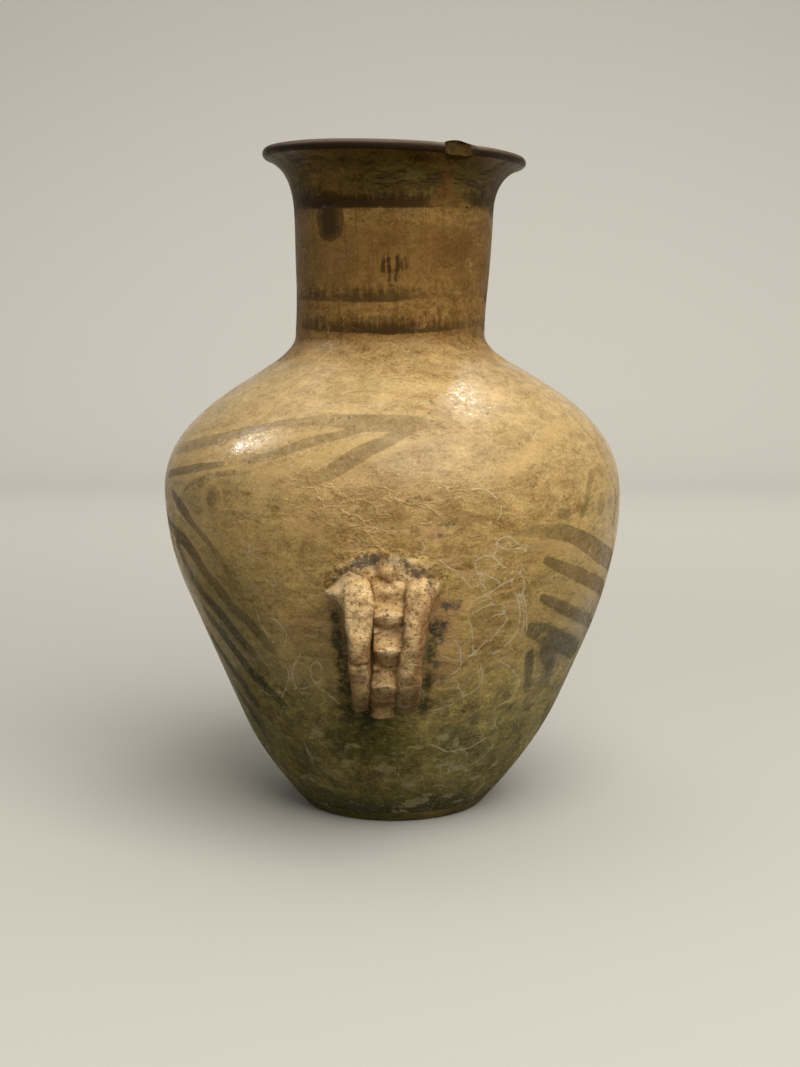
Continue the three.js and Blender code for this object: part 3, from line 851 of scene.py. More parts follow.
# Outline of the base disc, from the middle of its underside to the middle of its top
def base_outline(upper):
    under = np.linspace(0, BASE_RADIUS - FOOT_BEVEL, UNDER_POINTS)
    hollow = FOOT_HOLLOW * (1 - rise(under, *HOLLOW_EDGE))
    under = np.stack([under, hollow], axis=1)
    outside = outside_point(fine_rows(FOOT_ROUNDING, upper[0], OUTSIDE_ROW / 2))
    edge = inside_point(np.array([upper[1]]))
    top = np.stack([np.linspace(edge[0, 0], 0, TOP_POINTS), np.full(TOP_POINTS, edge[0, 1])], axis=1)
    within = np.concatenate([np.zeros(len(under) + len(outside)), np.ones(len(top))])
    return np.concatenate([under, outside, top]), within


# Maps that the finishes read as marks, with distances in mm
BODY_MAPS = {
    "dark": dark_field / MM,
    "strength": dark_strength,
    "wash": wash_field / MM,
    "wash_strength": wash_strength,
    "pale": pale_field / MM,
    "pale_strength": pale_strength,
    "trace": root_field / MM,
    "trace_aside": root_aside / MM,
    "trace_above": root_above / MM,
}
NECK_MAPS = {"dark": neck_field / MM, "strength": neck_strength, "above": neck_above / MM}


# Points and marks of the painted body
def shaped_body(points):
    marks = {name: read_field(field, points) for name, field in BODY_MAPS.items()}
    marks.update(patch_marks(points, "soot", "soil_and_shade", "ash", "flake", "damp_and_shade"))
    marks["wear"] = front_wear(points)
    return hand_settled(points), marks


# Marks of the painted neck, which run on over the rim
def neck_marks(points):
    marks = {name: read_field(field, points) for name, field in NECK_MAPS.items()}
    marks.update(patch_marks(points, "cloud", "corner", "drip"))
    return marks


# Points and marks of the painted neck
def shaped_neck(points):
    return hand_settled(points), neck_marks(points)


# Breaks the flake off the lip, and leaves its scar standing a little high
def shaped_rim(points):
    turn = turn_between(azimuth_of(points), CHIP_AZIMUTH) / CHIP_HALF_WIDTH
    radius = np.hypot(points[:, 0], points[:, 1])
    scarred = np.clip(1 - turn ** 4, 0, 1)
    rough = CHIP_ROUGHNESS * slow_waves(points, CHIP_SEED, CHIP_WAVES) * (scarred > 0)
    limit = RIM_RADIUS - CHIP_DEPTH * np.sqrt(scarred) - rough
    below = np.clip(JAR_HEIGHT - points[:, 2], 0, None)
    limit += CHIP_SLOPE * below + CHIP_HOLLOW * below ** 2
    reached = (scarred > 0) & (points[:, 2] > JAR_HEIGHT - CHIP_HEIGHT)
    cut = np.where(reached, np.clip(radius - limit, 0, None), 0)
    chipped = points.copy()
    chipped[:, :2] *= (1 - cut / np.maximum(radius, MM))[:, None]
    lifted = rise(points[:, 2], JAR_HEIGHT - CHIP_LIFT_HEIGHT, JAR_HEIGHT)
    chipped[:, 2] += CHIP_LIFT * np.clip(1 - turn ** 2, 0, 1) * lifted
    marks = neck_marks(points)
    marks["broken"] = scarred * rise(points[:, 2], JAR_HEIGHT - CHIP_HEIGHT, JAR_HEIGHT - SCAR_HEIGHT)
    marks["lip"] = rise(points[:, 2], JAR_HEIGHT - LIP_PAINT_FROM, JAR_HEIGHT - LIP_PAINT_FULL)
    marks["crest"] = rise(points[:, 2], JAR_HEIGHT - CREST_FROM, JAR_HEIGHT - CREST_FULL)
    return hand_settled(chipped), marks


# Path of a handle coil, as radius and height, from its root to its lower end
def coil_path(end_height):
    root = np.array([wall_radius(ROOT_HEIGHT) - COIL_EMBED, ROOT_HEIGHT])
    end = np.array([wall_radius(end_height) - COIL_EMBED, end_height])
    first = root + np.array([HANDLE_UPPER_REACH, 0])
    second = end + np.array([HANDLE_LOWER_REACH, HANDLE_LOWER_FALL])
    return steered_curve(root, first, second, end)


# Rolls out a straight coil one unit thick and one unit long
def rolled_coil():
    form = bmesh.new()
    bmesh.ops.create_grid(form, x_segments=COIL_SIDES, y_segments=COIL_STEPS, size=1)
    for vert in form.verts:
        angle = vert.co.x * math.pi
        vert.co = (math.cos(angle), math.sin(angle), (vert.co.y + 1) / 2)
    bmesh.ops.remove_doubles(form, verts=form.verts, dist=MERGE_DISTANCE)
    bmesh.ops.holes_fill(form, edges=form.edges)
    bmesh.ops.recalc_face_normals(form, faces=form.faces)
    return form


# Round section pressed flat: the lower the power, the squarer the section
def squared(value, power):
    return np.sign(value) * np.abs(value) ** power


# Sideways drawing-together of the coils towards their lower ends
def coil_taper(height):
    return np.interp(height, (END_HEIGHT, ROOT_HEIGHT), (END_TAPER, ROOT_SPLAY))


# Bends a straight coil along its path, with its own section at each point
def bent_coil(points, end_height, section, turn):
    path = coil_path(end_height)
    lengths = chain_lengths(path)
    distance = points[:, 2] * lengths[-1]
    angle = np.arctan2(points[:, 1], points[:, 0])
    centre = along_chain(path, lengths, distance)
    heading = along_chain(chain_headings(path, lengths), lengths, distance)
    across, outward = section(distance / MM, angle, lengths[-1] / MM)
    radius = centre[:, 0] - heading[:, 1] * outward * MM
    height = centre[:, 1] + heading[:, 0] * outward * MM
    side = across * MM * coil_taper(centre[:, 1]) + HANDLE_OFFSET
    placed = np.stack([side, -radius, height], axis=1)
    waves = [slow_waves(placed, COIL_SEED + i + turn, COIL_WAVES) for i in range(3)]
    placed += COIL_UNEVENNESS * np.stack(waves, axis=1)
    deepest = wall_radius(placed[:, 2]) - COIL_DEEPEST
    reached = np.maximum(np.hypot(placed[:, 0], placed[:, 1]), MM)
    placed[:, :2] *= np.maximum(deepest / reached, 1)[:, None]
    if turn:
        placed[:, :2] *= -1
    return hand_settled(placed)


# Section in mm of the flat left band, winged at its root and cracked across low down
def left_band(distance, angle, length):
    places = (0, 9, 14, 18, 34, 44, 58, 75, length)
    centre = np.interp(distance, places, (-12.0, -12.2, -11.0, -10.2, -10.9, -11.5, -12.1, -12.6, -12.6))
    broad = np.interp(distance, places, (6.4, 6.6, 6.3, 6.0, 4.7, 4.8, 4.6, 4.7, 5.2))
    front_places = (0, 4, 9, 14, 24, 41, 42, 44, 75, length)
    front = np.interp(distance, front_places, (10, 9, 7.4, 5.9, 5, 5.1, 3.4, 4.4, 4.8, 5.5))
    outer = np.clip(-np.cos(angle), 0, 1)
    wing = 4.0 * bell((distance - 8) / 4.2) * outer ** 5
    fallen = 8 * outer ** 2 * (1 - rise(distance, 6, 17)) * (np.sin(angle) > 0)
    thick = np.where(np.sin(angle) > 0, front, 5)
    lean = 0.7 * np.cos(angle) * np.clip(np.sin(angle), 0, 1)
    across = centre + squared(np.cos(angle), 0.68) * broad - wing
    return across, squared(np.sin(angle), 0.6) * (thick - fallen) - lean


# Section in mm of the round right roll
def right_roll(distance, angle, length):
    places = (0, 13, 24, 42, 56, 68, 80, length)
    centre = np.interp(distance, places, (13.4, 12.7, 11.8, 10.4, 10.2, 10.2, 10.5, 11))
    broad = np.interp(distance, places, (7.4, 5.8, 4.8, 4.6, 5.6, 6.4, 5.6, 5.5))
    front = np.interp(distance, (0, 4, 9, 14, 24, 60, length), (10, 9, 7.4, 6, 5.2, 5.4, 5.8))
    fallen = 2.4 * (1 + np.cos(angle)) * (1 - rise(distance, 6, 17)) * (np.sin(angle) > 0)
    thick = np.where(np.sin(angle) > 0, front, 5.2)
    return centre + squared(np.cos(angle), 0.85) * broad, squared(np.sin(angle), 0.85) * (thick - fallen)


# How far the face of the pressed strip stands out: each ledge is a lens, arched above and sagging below
def pressed_face(distance, across):
    places, stands = np.array(PRESSED_FACE).T
    arched = np.interp(distance - LEDGE_ARCH * across ** 2, places, stands)
    sagged = np.interp(distance + LEDGE_SAG * across ** 2, places, stands)
    return np.minimum(arched, sagged)


# Place across the pressed strip, from edge to edge, of a place round its section
def strip_across(angle):
    return np.tanh(STRIP_FLATNESS * np.cos(angle)) / math.tanh(STRIP_FLATNESS)


# Section in mm of the middle strip, pressed down by a fingertip again and again
def pressed_strip(distance, angle, length):
    places = (0, 13, 24, 42, 56, 72, length)
    centre = np.interp(distance, places, (0.8, 1.3, 1.6, 0.9, -0.9, -1.8, -1.8))
    broad = np.interp(distance, places, (7.4, 6.8, 6.7, 6.4, 7.0, 7.0, 4.8))
    across = strip_across(angle)
    front = squared(np.sin(angle), 0.35) * (pressed_face(distance, across) + STRIP_BACK) - STRIP_BACK
    back = squared(np.sin(angle), 0.6) * STRIP_BACK
    return centre + across * broad, np.where(np.sin(angle) > 0, front, back)


# Steepness of the pressed face: above nought on a ledge, below nought on the step under it
def press_steepness(distance, across):
    half_mm = 0.5
    return pressed_face(distance + half_mm, across) - pressed_face(distance - half_mm, across)


COIL_FORMS = {
    "left_roll": (left_band, END_HEIGHT),
    "right_roll": (right_roll, END_HEIGHT),
    "pressed_strip": (pressed_strip, END_HEIGHT - STRIP_TAIL),
}


# Maker of the point moves for one coil of one handle
def coil_shaper(section, end_height, turn):
    def shaped(points):
        lengths = chain_lengths(coil_path(end_height))
        distance = points[:, 2] * lengths[-1] / MM
        angle = np.arctan2(points[:, 1], points[:, 0])
        facing = np.sin(angle)
        placed = bent_coil(points, end_height, section, turn)
        none = np.zeros(len(points))
        # Marks for the finish: painted shade on the side facing the wall, in the grooves, the hollows, the
        # steps that face down and the lower ends; painted lit tone on the ledges that face up and painted
        # highlight on their rubbed crests
        marks = {name: none for name in ("step", "lit_ledge", "worn_and_lit_brink", "hollow", "ruddy", "low_end_shade")}
        marks.update(patch_marks(placed, "soot", "ash"))
        marks["under"] = rise(-facing, -0.1, 0.8)
        marks["spread"] = 1 - rise(distance, 1, 6)
        sideways = np.cos(angle)
        inner = {left_band: sideways, right_roll: -sideways, pressed_strip: np.abs(sideways)}[section]
        marks["groove_shade"] = rise(inner, 0.6, 0.97) * rise(distance, 11, 15)
        if section is pressed_strip:
            across = strip_across(angle)
            steepness = press_steepness(distance, across)
            stand = pressed_face(distance, across)
            deeper = 0.3 + 0.7 * rise(distance, 26, 40)
            marks["worn_and_lit_brink"] = rise(stand, 2.2, 3.4) * rise(facing, 0, 0.3) * rise(distance, 12, 14)
            marks["hollow"] = rise(-stand, -0.6, 1.2) * rise(distance, 12, 14)
            marks["low_end_shade"] = 0.55 * rise(distance, 62, 76)
            below_root = rise(facing, 0, 0.3) * rise(distance, 10, 13)
            marks["step"] = rise(-steepness, 0.04, 0.22) * below_root * deeper
            marks["lit_ledge"] = rise(steepness, 0.2, 0.6) * rise(facing, 0, 0.3)
        elif section is right_roll:
            marks["ruddy"] = rise(sideways, -0.2, 0.6) * rise(distance, 8, 20)
            marks["low_end_shade"] = rise(distance, 42, 66)
        else:
            marks["ruddy"] = rise(distance, 30, 42) * rise(np.abs(sideways), 0.5, 0.95)
            marks["low_end_shade"] = rise(distance, 46, 70)
        return placed, marks
    return shaped


# Slab that is laid over the roots of a handle
def clay_slab():
    form = bmesh.new()
    bmesh.ops.create_grid(form, x_segments=PAD_COLUMNS, y_segments=PAD_ROWS, size=1)
    grown = bmesh.ops.extrude_face_region(form, geom=form.faces[:], use_keep_orig=True)["geom"]
    bmesh.ops.translate(form, verts=of_kind(grown, bmesh.types.BMVert), vec=(0, 0, -1))
    bmesh.ops.recalc_face_normals(form, faces=form.faces)
    return form


# Maker of the point moves that wrap the slab round the wall
def pad_shaper(turn):
    def shaped(points):
        u, v, buried = points[:, 0], points[:, 1], points[:, 2] < -0.5
        rounded = np.sqrt(np.clip(1 - 0.5 * v * v, 0, 1))
        flat = np.sqrt(np.clip(1 - 0.5 * u * u, 0, 1))
        aside = u * rounded * PAD_HALF_WIDTH + HANDLE_OFFSET
        height = PAD_CENTRE + v * flat * PAD_HALF_HEIGHT
        reach = np.clip((u * rounded) ** 2 + (v * flat) ** 2, 0, 1)
        lumps = slow_waves(np.stack([aside, height, aside * 0], axis=1), PAD_SEED + turn, PAD_WAVES)
        fillet = PAD_FILLET * bell((height - ROOT_HEIGHT - PAD_FILLET_RISE) / PAD_FILLET_SPREAD)
        fillet = fillet * (1 - rise(np.abs(u), 0.35, 0.8))
        stand = PAD_EDGE + (PAD_STAND + fillet + PAD_LUMPS * lumps) * (1 - reach) ** 0.8
        stand = np.where(buried, -PAD_BURIED, stand)
        radius = wall_radius(height)
        angle = aside / radius
        outer = radius + stand
        placed = np.stack([np.sin(angle) * outer, -np.cos(angle) * outer, height], axis=1)
        if turn:
            placed[:, :2] *= -1
        placed = hand_settled(placed)
        none = np.zeros(len(points))
        marks = {name: none for name in ("step", "lit_ledge", "ruddy", "low_end_shade", "under")}
        marks.update(patch_marks(placed, "soot", "ash"))
        marks["spread"] = rise(reach, 0.35, 0.85)
        return placed, marks
    return shaped


# Lays out the nodes of one finish or one shared effect
class Recipe:
    def __init__(self, tree):
        self.tree = tree

    def feed(self, value, socket):
        if isinstance(value, bpy.types.NodeSocket):
            self.tree.links.new(value, socket)
        else:
            socket.default_value = value

    def node(self, kind, inputs=None, **settings):
        made = self.tree.nodes.new(kind)
        for name, value in settings.items():
            setattr(made, name, value)
        for key, value in (inputs or {}).items():
            self.feed(value, made.inputs[key])
        return made

    def effect(self, group, **inputs):
        made = self.node("ShaderNodeGroup", node_tree=group)
        for name, value in inputs.items():
            self.feed(value, made.inputs[name.capitalize()])
        return made.outputs

    def place(self, stretch=None):
        spot = self.node("ShaderNodeTexCoord").outputs["Object"]
        if stretch is None:
            return spot
        return self.node("ShaderNodeMapping", {"Vector": spot, "Scale": stretch}).outputs[0]

    def along(self, axis):
        return self.node("ShaderNodeSeparateXYZ", {"Vector": self.place()}).outputs[axis]

    def mark(self, name):
        settings = {"attribute_name": name, "attribute_type": "GEOMETRY"}
        return self.node("ShaderNodeAttribute", **settings).outputs["Fac"]

    def noise(self, scale, detail=4, roughness=0.55, distortion=0, stretch=None):
        inputs = {
            "Vector": self.place(stretch), "Scale": scale, "Detail": detail,
            "Roughness": roughness, "Distortion": distortion,
        }
        return self.node("ShaderNodeTexNoise", inputs).outputs[0]

    def cells(self, scale):
        inputs = {"Vector": self.place(), "Scale": scale}
        return self.node("ShaderNodeTexVoronoi", inputs).outputs["Distance"]

    def vectors(self, operation, inputs):
        return self.node("ShaderNodeVectorMath", inputs, operation=operation).outputs[0]

    def warped(self, amount, scale, stretch):
        inputs = {"Vector": self.place(), "Scale": scale, "Detail": 3}
        drift = self.node("ShaderNodeTexNoise", inputs).outputs["Color"]
        centred = self.vectors("SUBTRACT", {0: drift, 1: (0.5, 0.5, 0.5)})
        moved = self.vectors("SCALE", {0: centred, "Scale": amount})
        return self.vectors("ADD", {0: self.place(stretch), 1: moved})

    def creases(self, scale, warp, stretch):
        inputs = {"Vector": self.warped(warp, 2 * scale, stretch), "Scale": scale}
        return self.node("ShaderNodeTexVoronoi", inputs, feature="DISTANCE_TO_EDGE").outputs["Distance"]

    def ramp(self, value, low, high, bottom=0.0, top=1.0):
        inputs = {"Value": value, "From Min": low, "From Max": high, "To Min": bottom, "To Max": top}
        return self.node("ShaderNodeMapRange", inputs, interpolation_type="SMOOTHSTEP").outputs[0]

    def maths(self, operation, first, second=0.0):
        return self.node("ShaderNodeMath", {0: first, 1: second}, operation=operation).outputs[0]

    def chained(self, operation, values):
        total = values[0]
        for value in values[1:]:
            total = self.maths(operation, total, value)
        return total

    def times(self, *values):
        return self.chained("MULTIPLY", values)

    def plus(self, *values):
        return self.chained("ADD", values)

    def most(self, *values):
        return self.chained("MAXIMUM", values)

    def sums(self, *products):
        return self.plus(*[self.times(*product) for product in products])

    def swing(self, value, amount):
        return self.times(self.plus(value, -0.5), amount)

    def off_middle(self, value):
        return self.maths("ABSOLUTE", self.plus(value, -0.5))

    def blend(self, factor, first, second, mode="MIX"):
        inputs = {0: factor, 6: first, 7: second}
        return self.node("ShaderNodeMix", inputs, data_type="RGBA", blend_type=mode).outputs[2]

    def toned(self, colour, tone, amount=1.0):
        return self.blend(amount, colour, tone, "MULTIPLY")

    def coats(self, colour, *layers):
        for paint, *masks in layers:
            colour = self.blend(self.times(*masks), colour, paint)
        return colour


# Makes a shared effect from its inputs and from the recipe of its outputs
def shared_effect(name, inputs, outputs_of):
    group = bpy.data.node_groups.new(name, "ShaderNodeTree")
    for label, value in inputs.items():
        socket = group.interface.new_socket(name=label, in_out="INPUT", socket_type="NodeSocketFloat")
        socket.default_value = value
    recipe = Recipe(group)
    outputs = outputs_of(recipe, recipe.node("NodeGroupInput").outputs)
    for label in outputs:
        kind = "NodeSocketColor" if label == "Colour" else "NodeSocketFloat"
        group.interface.new_socket(name=label, in_out="OUTPUT", socket_type=kind)
    leave = recipe.node("NodeGroupOutput").inputs
    for label, value in outputs.items():
        group.links.new(value, leave[label])
    return group


# Colours in linear light
SLIP_GOLD = (0.55, 0.382, 0.168, 1)
SLIP_WARM = (0.522, 0.350, 0.117, 1)
SLIP_DULL = (0.27, 0.222, 0.074, 1)
SLIP_PALE = (0.64, 0.43, 0.17, 1)
SLIP_RUDDY = (0.42, 0.21, 0.062, 1)
PAINT_BROWN = (0.20, 0.115, 0.038, 1)
PAINT_BLACK = (0.080, 0.056, 0.018, 1)
WORN_CLAY = (0.70, 0.41, 0.19, 1)
WORN_BROWN = (0.35, 0.18, 0.066, 1)
ROOT_PALE = (0.72, 0.61, 0.40, 1)
SOOT_BLACK = (0.050, 0.050, 0.046, 1)
ASH_PALE = (0.52, 0.40, 0.225, 1)
GRIME_BROWN = (1.0, 0.86, 0.62, 1)
# Olive of the soil low on the jar and on the base, with painted shade and painted green light from below in
# it
FOOT_OLIVE = (0.16, 0.136, 0.036, 1)
OLIVE_BLACK = (0.030, 0.031, 0.011, 1)
FLAKE_PALE = (0.42, 0.35, 0.165, 1)
# Darker green tone: damp, with painted shade and painted green light from below
DAMP_SHADE_AND_GREEN_LIGHT = (0.50, 0.54, 0.36, 1)
RAW_CLAY = (0.30, 0.175, 0.075, 1)
INNER_DUST = (0.38, 0.26, 0.135, 1)
NECK_TAN = (0.262, 0.150, 0.044, 1)
NECK_BROWN = (0.17, 0.085, 0.020, 1)
NECK_RED = (0.115, 0.048, 0.011, 1)
NECK_BAND = (0.046, 0.023, 0.005, 1)
RIM_DARK = (0.033, 0.020, 0.009, 1)
RIM_PURPLE_AND_HIGHLIGHT = (0.16, 0.115, 0.085, 1)
RIM_OLIVE_LIT_FROM_BELOW = (0.125, 0.090, 0.025, 1)
RIM_SCAR = (0.070, 0.045, 0.011, 1)
HANDLE_PALE = (0.82, 0.58, 0.29, 1)
HANDLE_CREAM_AND_HIGHLIGHT = (0.90, 0.66, 0.36, 1)
HANDLE_TAN = (0.60, 0.385, 0.165, 1)
HANDLE_RED = (0.34, 0.175, 0.068, 1)
HANDLE_BROWN = (0.23, 0.128, 0.052, 1)
HANDLE_DARK = (0.072, 0.066, 0.030, 1)

# Heights in metres between which the looks of the wall set in
GOLD_ZONE = (0.145, 0.20)
DULL_ZONE = (0.125, 0.045)
GRIMY_ZONE = (0.115, 0.05)
LOW_ZONE = (0.115, 0.01)
STREAKED_ZONE = (0.11, 0.06)
FOOT_SHADOW_ZONE = (0.025, 0.005)
CRUMPLED_ZONE = (0.128, 0.142)
SOFT_EDGE_ZONE = (0.14, 0.09)
BLACKENED_ZONE = (0.13, 0.09)
BURNISHED_FROM = (0.155, 0.18)
BURNISHED_TO = (0.235, 0.215)
NECK_ZONE = (0.214, 0.240)
NECK_STREAK_ZONE = (0.233, 0.246)
NECK_BROWN_FROM = (0.258, 0.264)
NECK_BROWN_TO = (0.292, 0.287)
OLIVE_ZONE = (0.292, 0.308)
LIP_EDGE_ZONE = (0.296, 0.303)

# Marks of the grime from broad to fine: scale, detail, roughness, distortion, stretch and weight
GRIME_MARKS = (
    (17, 8, 0.64, 0.8, None, 0.8),
    (42, 6, 0.64, 0.7, (1, 1, 2.6), 1.3),
    (110, 5, 0.62, 0.8, (1, 1, 2.0), 1.5),
    (300, 3, 0.6, 1.2, (1, 1, 1.5), 1.15),
    (850, 3, 0.6, 0, None, 1.3),
)
BLOTCH_MARK = 2
DARKEST_GRIME = 0.25

# Scratches: scale and stretch of each direction
SCRATCH_LINES = ((34, (1, 1, 3.2)), (27, (2.4, 1, 1.2)), (46, (1, 2.2, 0.8)))


# Sand in the clay: a fine height, dark and pale grains, and small pits
def sand_recipe(recipe, entry):
    rough = recipe.noise(recipe.times(entry["Scale"], 1100.0), 4, 0.65)
    grain = recipe.noise(recipe.times(entry["Scale"], 620.0), 3, 0.6)
    pits = recipe.cells(recipe.times(entry["Scale"], 210.0))
    spread = recipe.ramp(recipe.noise(60, 3), 0.5, 0.66)
    pit = recipe.times(recipe.ramp(pits, 0.24, 0.08), spread)
    return {
        "Height": recipe.maths("SUBTRACT", rough, pit),
        "Dark grains": recipe.ramp(grain, 0.40, 0.27),
        "Pale grains": recipe.ramp(grain, 0.60, 0.73),
        "Pits": pit,
    }


# Grime of age, as a tone round one that darkens and lightens the clay at every size
def grime_recipe(recipe, entry):
    marks = []
    swings = []
    for scale, *kind, weight in GRIME_MARKS:
        marks.append(recipe.noise(recipe.times(entry["Scale"], scale), *kind))
        swings.append(recipe.swing(marks[-1], weight))
    tone = recipe.plus(recipe.times(recipe.plus(*swings), entry["Contrast"]), 1.0)
    return {"Tone": recipe.most(tone, DARKEST_GRIME), "Blotch": marks[BLOTCH_MARK]}


# Fine scratches and rubbed lines that cross the surface in several directions
def scratch_recipe(recipe, entry):
    narrow = recipe.times(entry["Width"], 0.3)
    lines = []
    for scale, stretch in SCRATCH_LINES:
        level = recipe.off_middle(recipe.noise(scale, 2, 0.5, 0.5, stretch))
        lines.append(recipe.ramp(level, entry["Width"], narrow))
    patch = recipe.ramp(recipe.noise(21, 3, 0.6), 0.44, 0.62)
    broken = recipe.ramp(recipe.noise(210, 4, 0.6), 0.4, 0.6)
    return {"Mask": recipe.times(recipe.most(*lines), patch, broken)}


# Brushed paint with an uneven edge that has flaked with age
def aged_paint_recipe(recipe, entry):
    wobble = recipe.swing(recipe.noise(110, 5, 0.6), entry["Wobble"])
    edge = recipe.plus(entry["Distance"], wobble)
    soft = recipe.ramp(edge, entry["Edge"], recipe.times(entry["Edge"], -1.0))
    kept = recipe.sums((recipe.noise(260, 7, 0.72), 0.65), (recipe.noise(42, 5, 0.65), 0.65))
    held_from = recipe.plus(0.80, recipe.times(entry["Loss"], -0.3))
    held = recipe.ramp(kept, held_from, 0.86, 1.0, 0.15)
    return {"Mask": recipe.times(soft, entry["Strength"], held)}


# Thin pale root marks along given lines, and stray ones elsewhere
def root_mark_recipe(recipe, entry):
    wander = recipe.swing(recipe.noise(90, 2), 3.0)
    drift = recipe.swing(recipe.noise(105, 2, 0.5, 0.4), 3.0)
    aside = recipe.maths("POWER", recipe.maths("ABSOLUTE", recipe.plus(entry["Aside"], wander)), 2.0)
    above = recipe.maths("POWER", recipe.maths("ABSOLUTE", recipe.plus(entry["Above"], drift)), 2.0)
    line = recipe.maths("SQRT", recipe.plus(aside, above))
    thread = recipe.ramp(line, entry["Width"], recipe.times(entry["Width"], 0.3))
    drawn = recipe.times(thread, recipe.ramp(entry["Distance"], 3.0, 2.0))
    broken = recipe.ramp(recipe.noise(150, 4), 0.22, 0.40)
    stray = recipe.ramp(recipe.off_middle(recipe.noise(24, 2, 0.5, 0.6)), 0.005, 0.001)
    patch = recipe.ramp(recipe.noise(17, 2), 0.5, 0.62)
    strays = recipe.times(stray, patch, entry["Stray"])
    return {"Mask": recipe.times(recipe.most(drawn, strays), broken)}


# Slip before any paint: dull near the foot, golden on the shoulder, browner up the neck, olive under the lip
# and lightened there as painted light thrown up from below
def slip_ground_recipe(recipe, entry):
    height = recipe.along("Z")
    near_foot = recipe.ramp(height, *GRIMY_ZONE, 1.0, 1.3)
    burnished = recipe.times(recipe.ramp(height, *BURNISHED_FROM), recipe.ramp(height, *BURNISHED_TO))
    calm = recipe.plus(1.0, recipe.times(burnished, -0.3))
    aged = recipe.effect(grime, scale=1.0, contrast=recipe.times(entry["Contrast"], near_foot, calm))
    wander = recipe.swing(recipe.noise(13, 5, 0.65), 0.07)
    level = recipe.plus(height, wander)
    nearby = recipe.plus(height, recipe.times(wander, 0.25))
    warmth = recipe.noise(30, 6, 0.7, 0.5)
    colour = recipe.coats(
        SLIP_WARM,
        (SLIP_GOLD, recipe.ramp(level, *GOLD_ZONE)),
        (SLIP_DULL, recipe.ramp(level, *DULL_ZONE)),
        (NECK_TAN, recipe.ramp(nearby, *NECK_ZONE)),
        # Olive under the lip, lightened as painted light thrown up from below
        (RIM_OLIVE_LIT_FROM_BELOW, recipe.ramp(nearby, *OLIVE_ZONE)),
        (SLIP_RUDDY, recipe.ramp(warmth, 0.52, 0.70, 0, 0.35)),
    )
    colour = recipe.toned(colour, aged["Tone"])
    colour = recipe.toned(colour, GRIME_BROWN, recipe.ramp(aged["Tone"], 1.05, 0.45))
    return {"Blotch": aged["Blotch"], "Colour": colour}


# Bare clay inside the jar, wiped round by hand and dusty
def inner_clay_recipe(recipe, entry):
    aged = recipe.effect(grime, scale=0.7, contrast=entry["Contrast"])
    wiping = recipe.noise(30, 6, 0.66, 0.3, (1, 1, 7))
    colour = recipe.blend(recipe.ramp(wiping, 0.38, 0.62), RAW_CLAY, INNER_DUST)
    return {"Colour": recipe.toned(colour, aged["Tone"])}


PAINT_INPUTS = {"Distance": 1.0, "Strength": 1.0, "Edge": 0.5, "Wobble": 1.7, "Loss": 0.4}
ROOT_INPUTS = {"Distance": 10.0, "Aside": 10.0, "Above": 10.0, "Width": 0.5, "Stray": 0.5}

sand = shared_effect("sand", {"Scale": 1.0}, sand_recipe)
grime = shared_effect("grime", {"Scale": 1.0, "Contrast": 1.0}, grime_recipe)
scratches = shared_effect("scratches", {"Width": 0.006}, scratch_recipe)
aged_paint = shared_effect("aged_paint", PAINT_INPUTS, aged_paint_recipe)
root_marks = shared_effect("root_marks", ROOT_INPUTS, root_mark_recipe)
slip_ground = shared_effect("slip_ground", {"Contrast": 1.0}, slip_ground_recipe)
inner_clay = shared_effect("inner_clay", {"Contrast": 1.0}, inner_clay_recipe)


# Starts a finish with its shader
def new_finish(name, gloss):
    finish = bpy.data.materials.new(name)
    finish.use_nodes = True
    shader = finish.node_tree.nodes["Principled BSDF"]
    shader.inputs["Specular IOR Level"].default_value = gloss
    return finish, Recipe(finish.node_tree), shader


# Joins the colour, roughness and height of a finish to its shader
def complete(recipe, shader, colour, roughness, height, strength, depth):
    bump = recipe.node("ShaderNodeBump", {"Height": height, "Strength": strength, "Distance": depth})
    recipe.tree.links.new(colour, shader.inputs["Base Color"])
    recipe.tree.links.new(roughness, shader.inputs["Roughness"])
    recipe.tree.links.new(bump.outputs["Normal"], shader.inputs["Normal"])


# Mask of a set of brush strokes, from the marks of their distance and strength
def brushed(recipe, distance, strength, **kind):
    found = {"distance": recipe.mark(distance), "strength": recipe.mark(strength)}
    return recipe.effect(aged_paint, **found, **kind)["Mask"]


# Colour with bare clay where the inside of the jar shows
def bare_inside(recipe, colour, inside):
    return recipe.blend(inside, colour, recipe.effect(inner_clay, contrast=0.8)["Colour"])


# Colour with pale ash smeared on, torn up by a gritty noise
def ashen(recipe, colour, gritty):
    ash = recipe.ramp(recipe.plus(recipe.mark("ash"), gritty), 0.5, 0.85)
    return recipe.coats(colour, (ASH_PALE, ash, 0.6))


# Colour with soot and mineral stain
def sooted(recipe, colour):
    soot = recipe.times(recipe.mark("soot"), recipe.ramp(recipe.noise(300, 6, 0.72), 0.34, 0.6))
    return recipe.blend(recipe.ramp(soot, 0.06, 0.6, 0, 0.8), colour, SOOT_BLACK)


# Colour with the rubbed front of the body, crumpled into fine ridges above the handle, which are paler as
# raised slip and as painted highlight
def rubbed_front(recipe, colour, height, wear):
    rubbed = recipe.noise(60, 7, 0.68, 0.6, (1, 1, 1.9))
    patchy = recipe.ramp(recipe.noise(30, 3, 0.6), 0.42, 0.56)
    crumpled = recipe.times(patchy, recipe.ramp(height, *CRUMPLED_ZONE))
    folds = recipe.creases(70, 0.012, (1, 1, 1.9))
    ridges = recipe.times(recipe.ramp(folds, 0.075, 0.01), wear, crumpled)
    worn = recipe.times(wear, recipe.ramp(rubbed, 0.49, 0.60))
    dull = recipe.times(wear, recipe.ramp(rubbed, 0.49, 0.40))
    # Pale along the ridges: raised slip, and painted highlight
    colour = recipe.coats(
        colour, (WORN_CLAY, worn, 0.7), (WORN_BROWN, dull, 0.55), (SLIP_PALE, ridges, 0.35),
    )
    return colour, worn, ridges
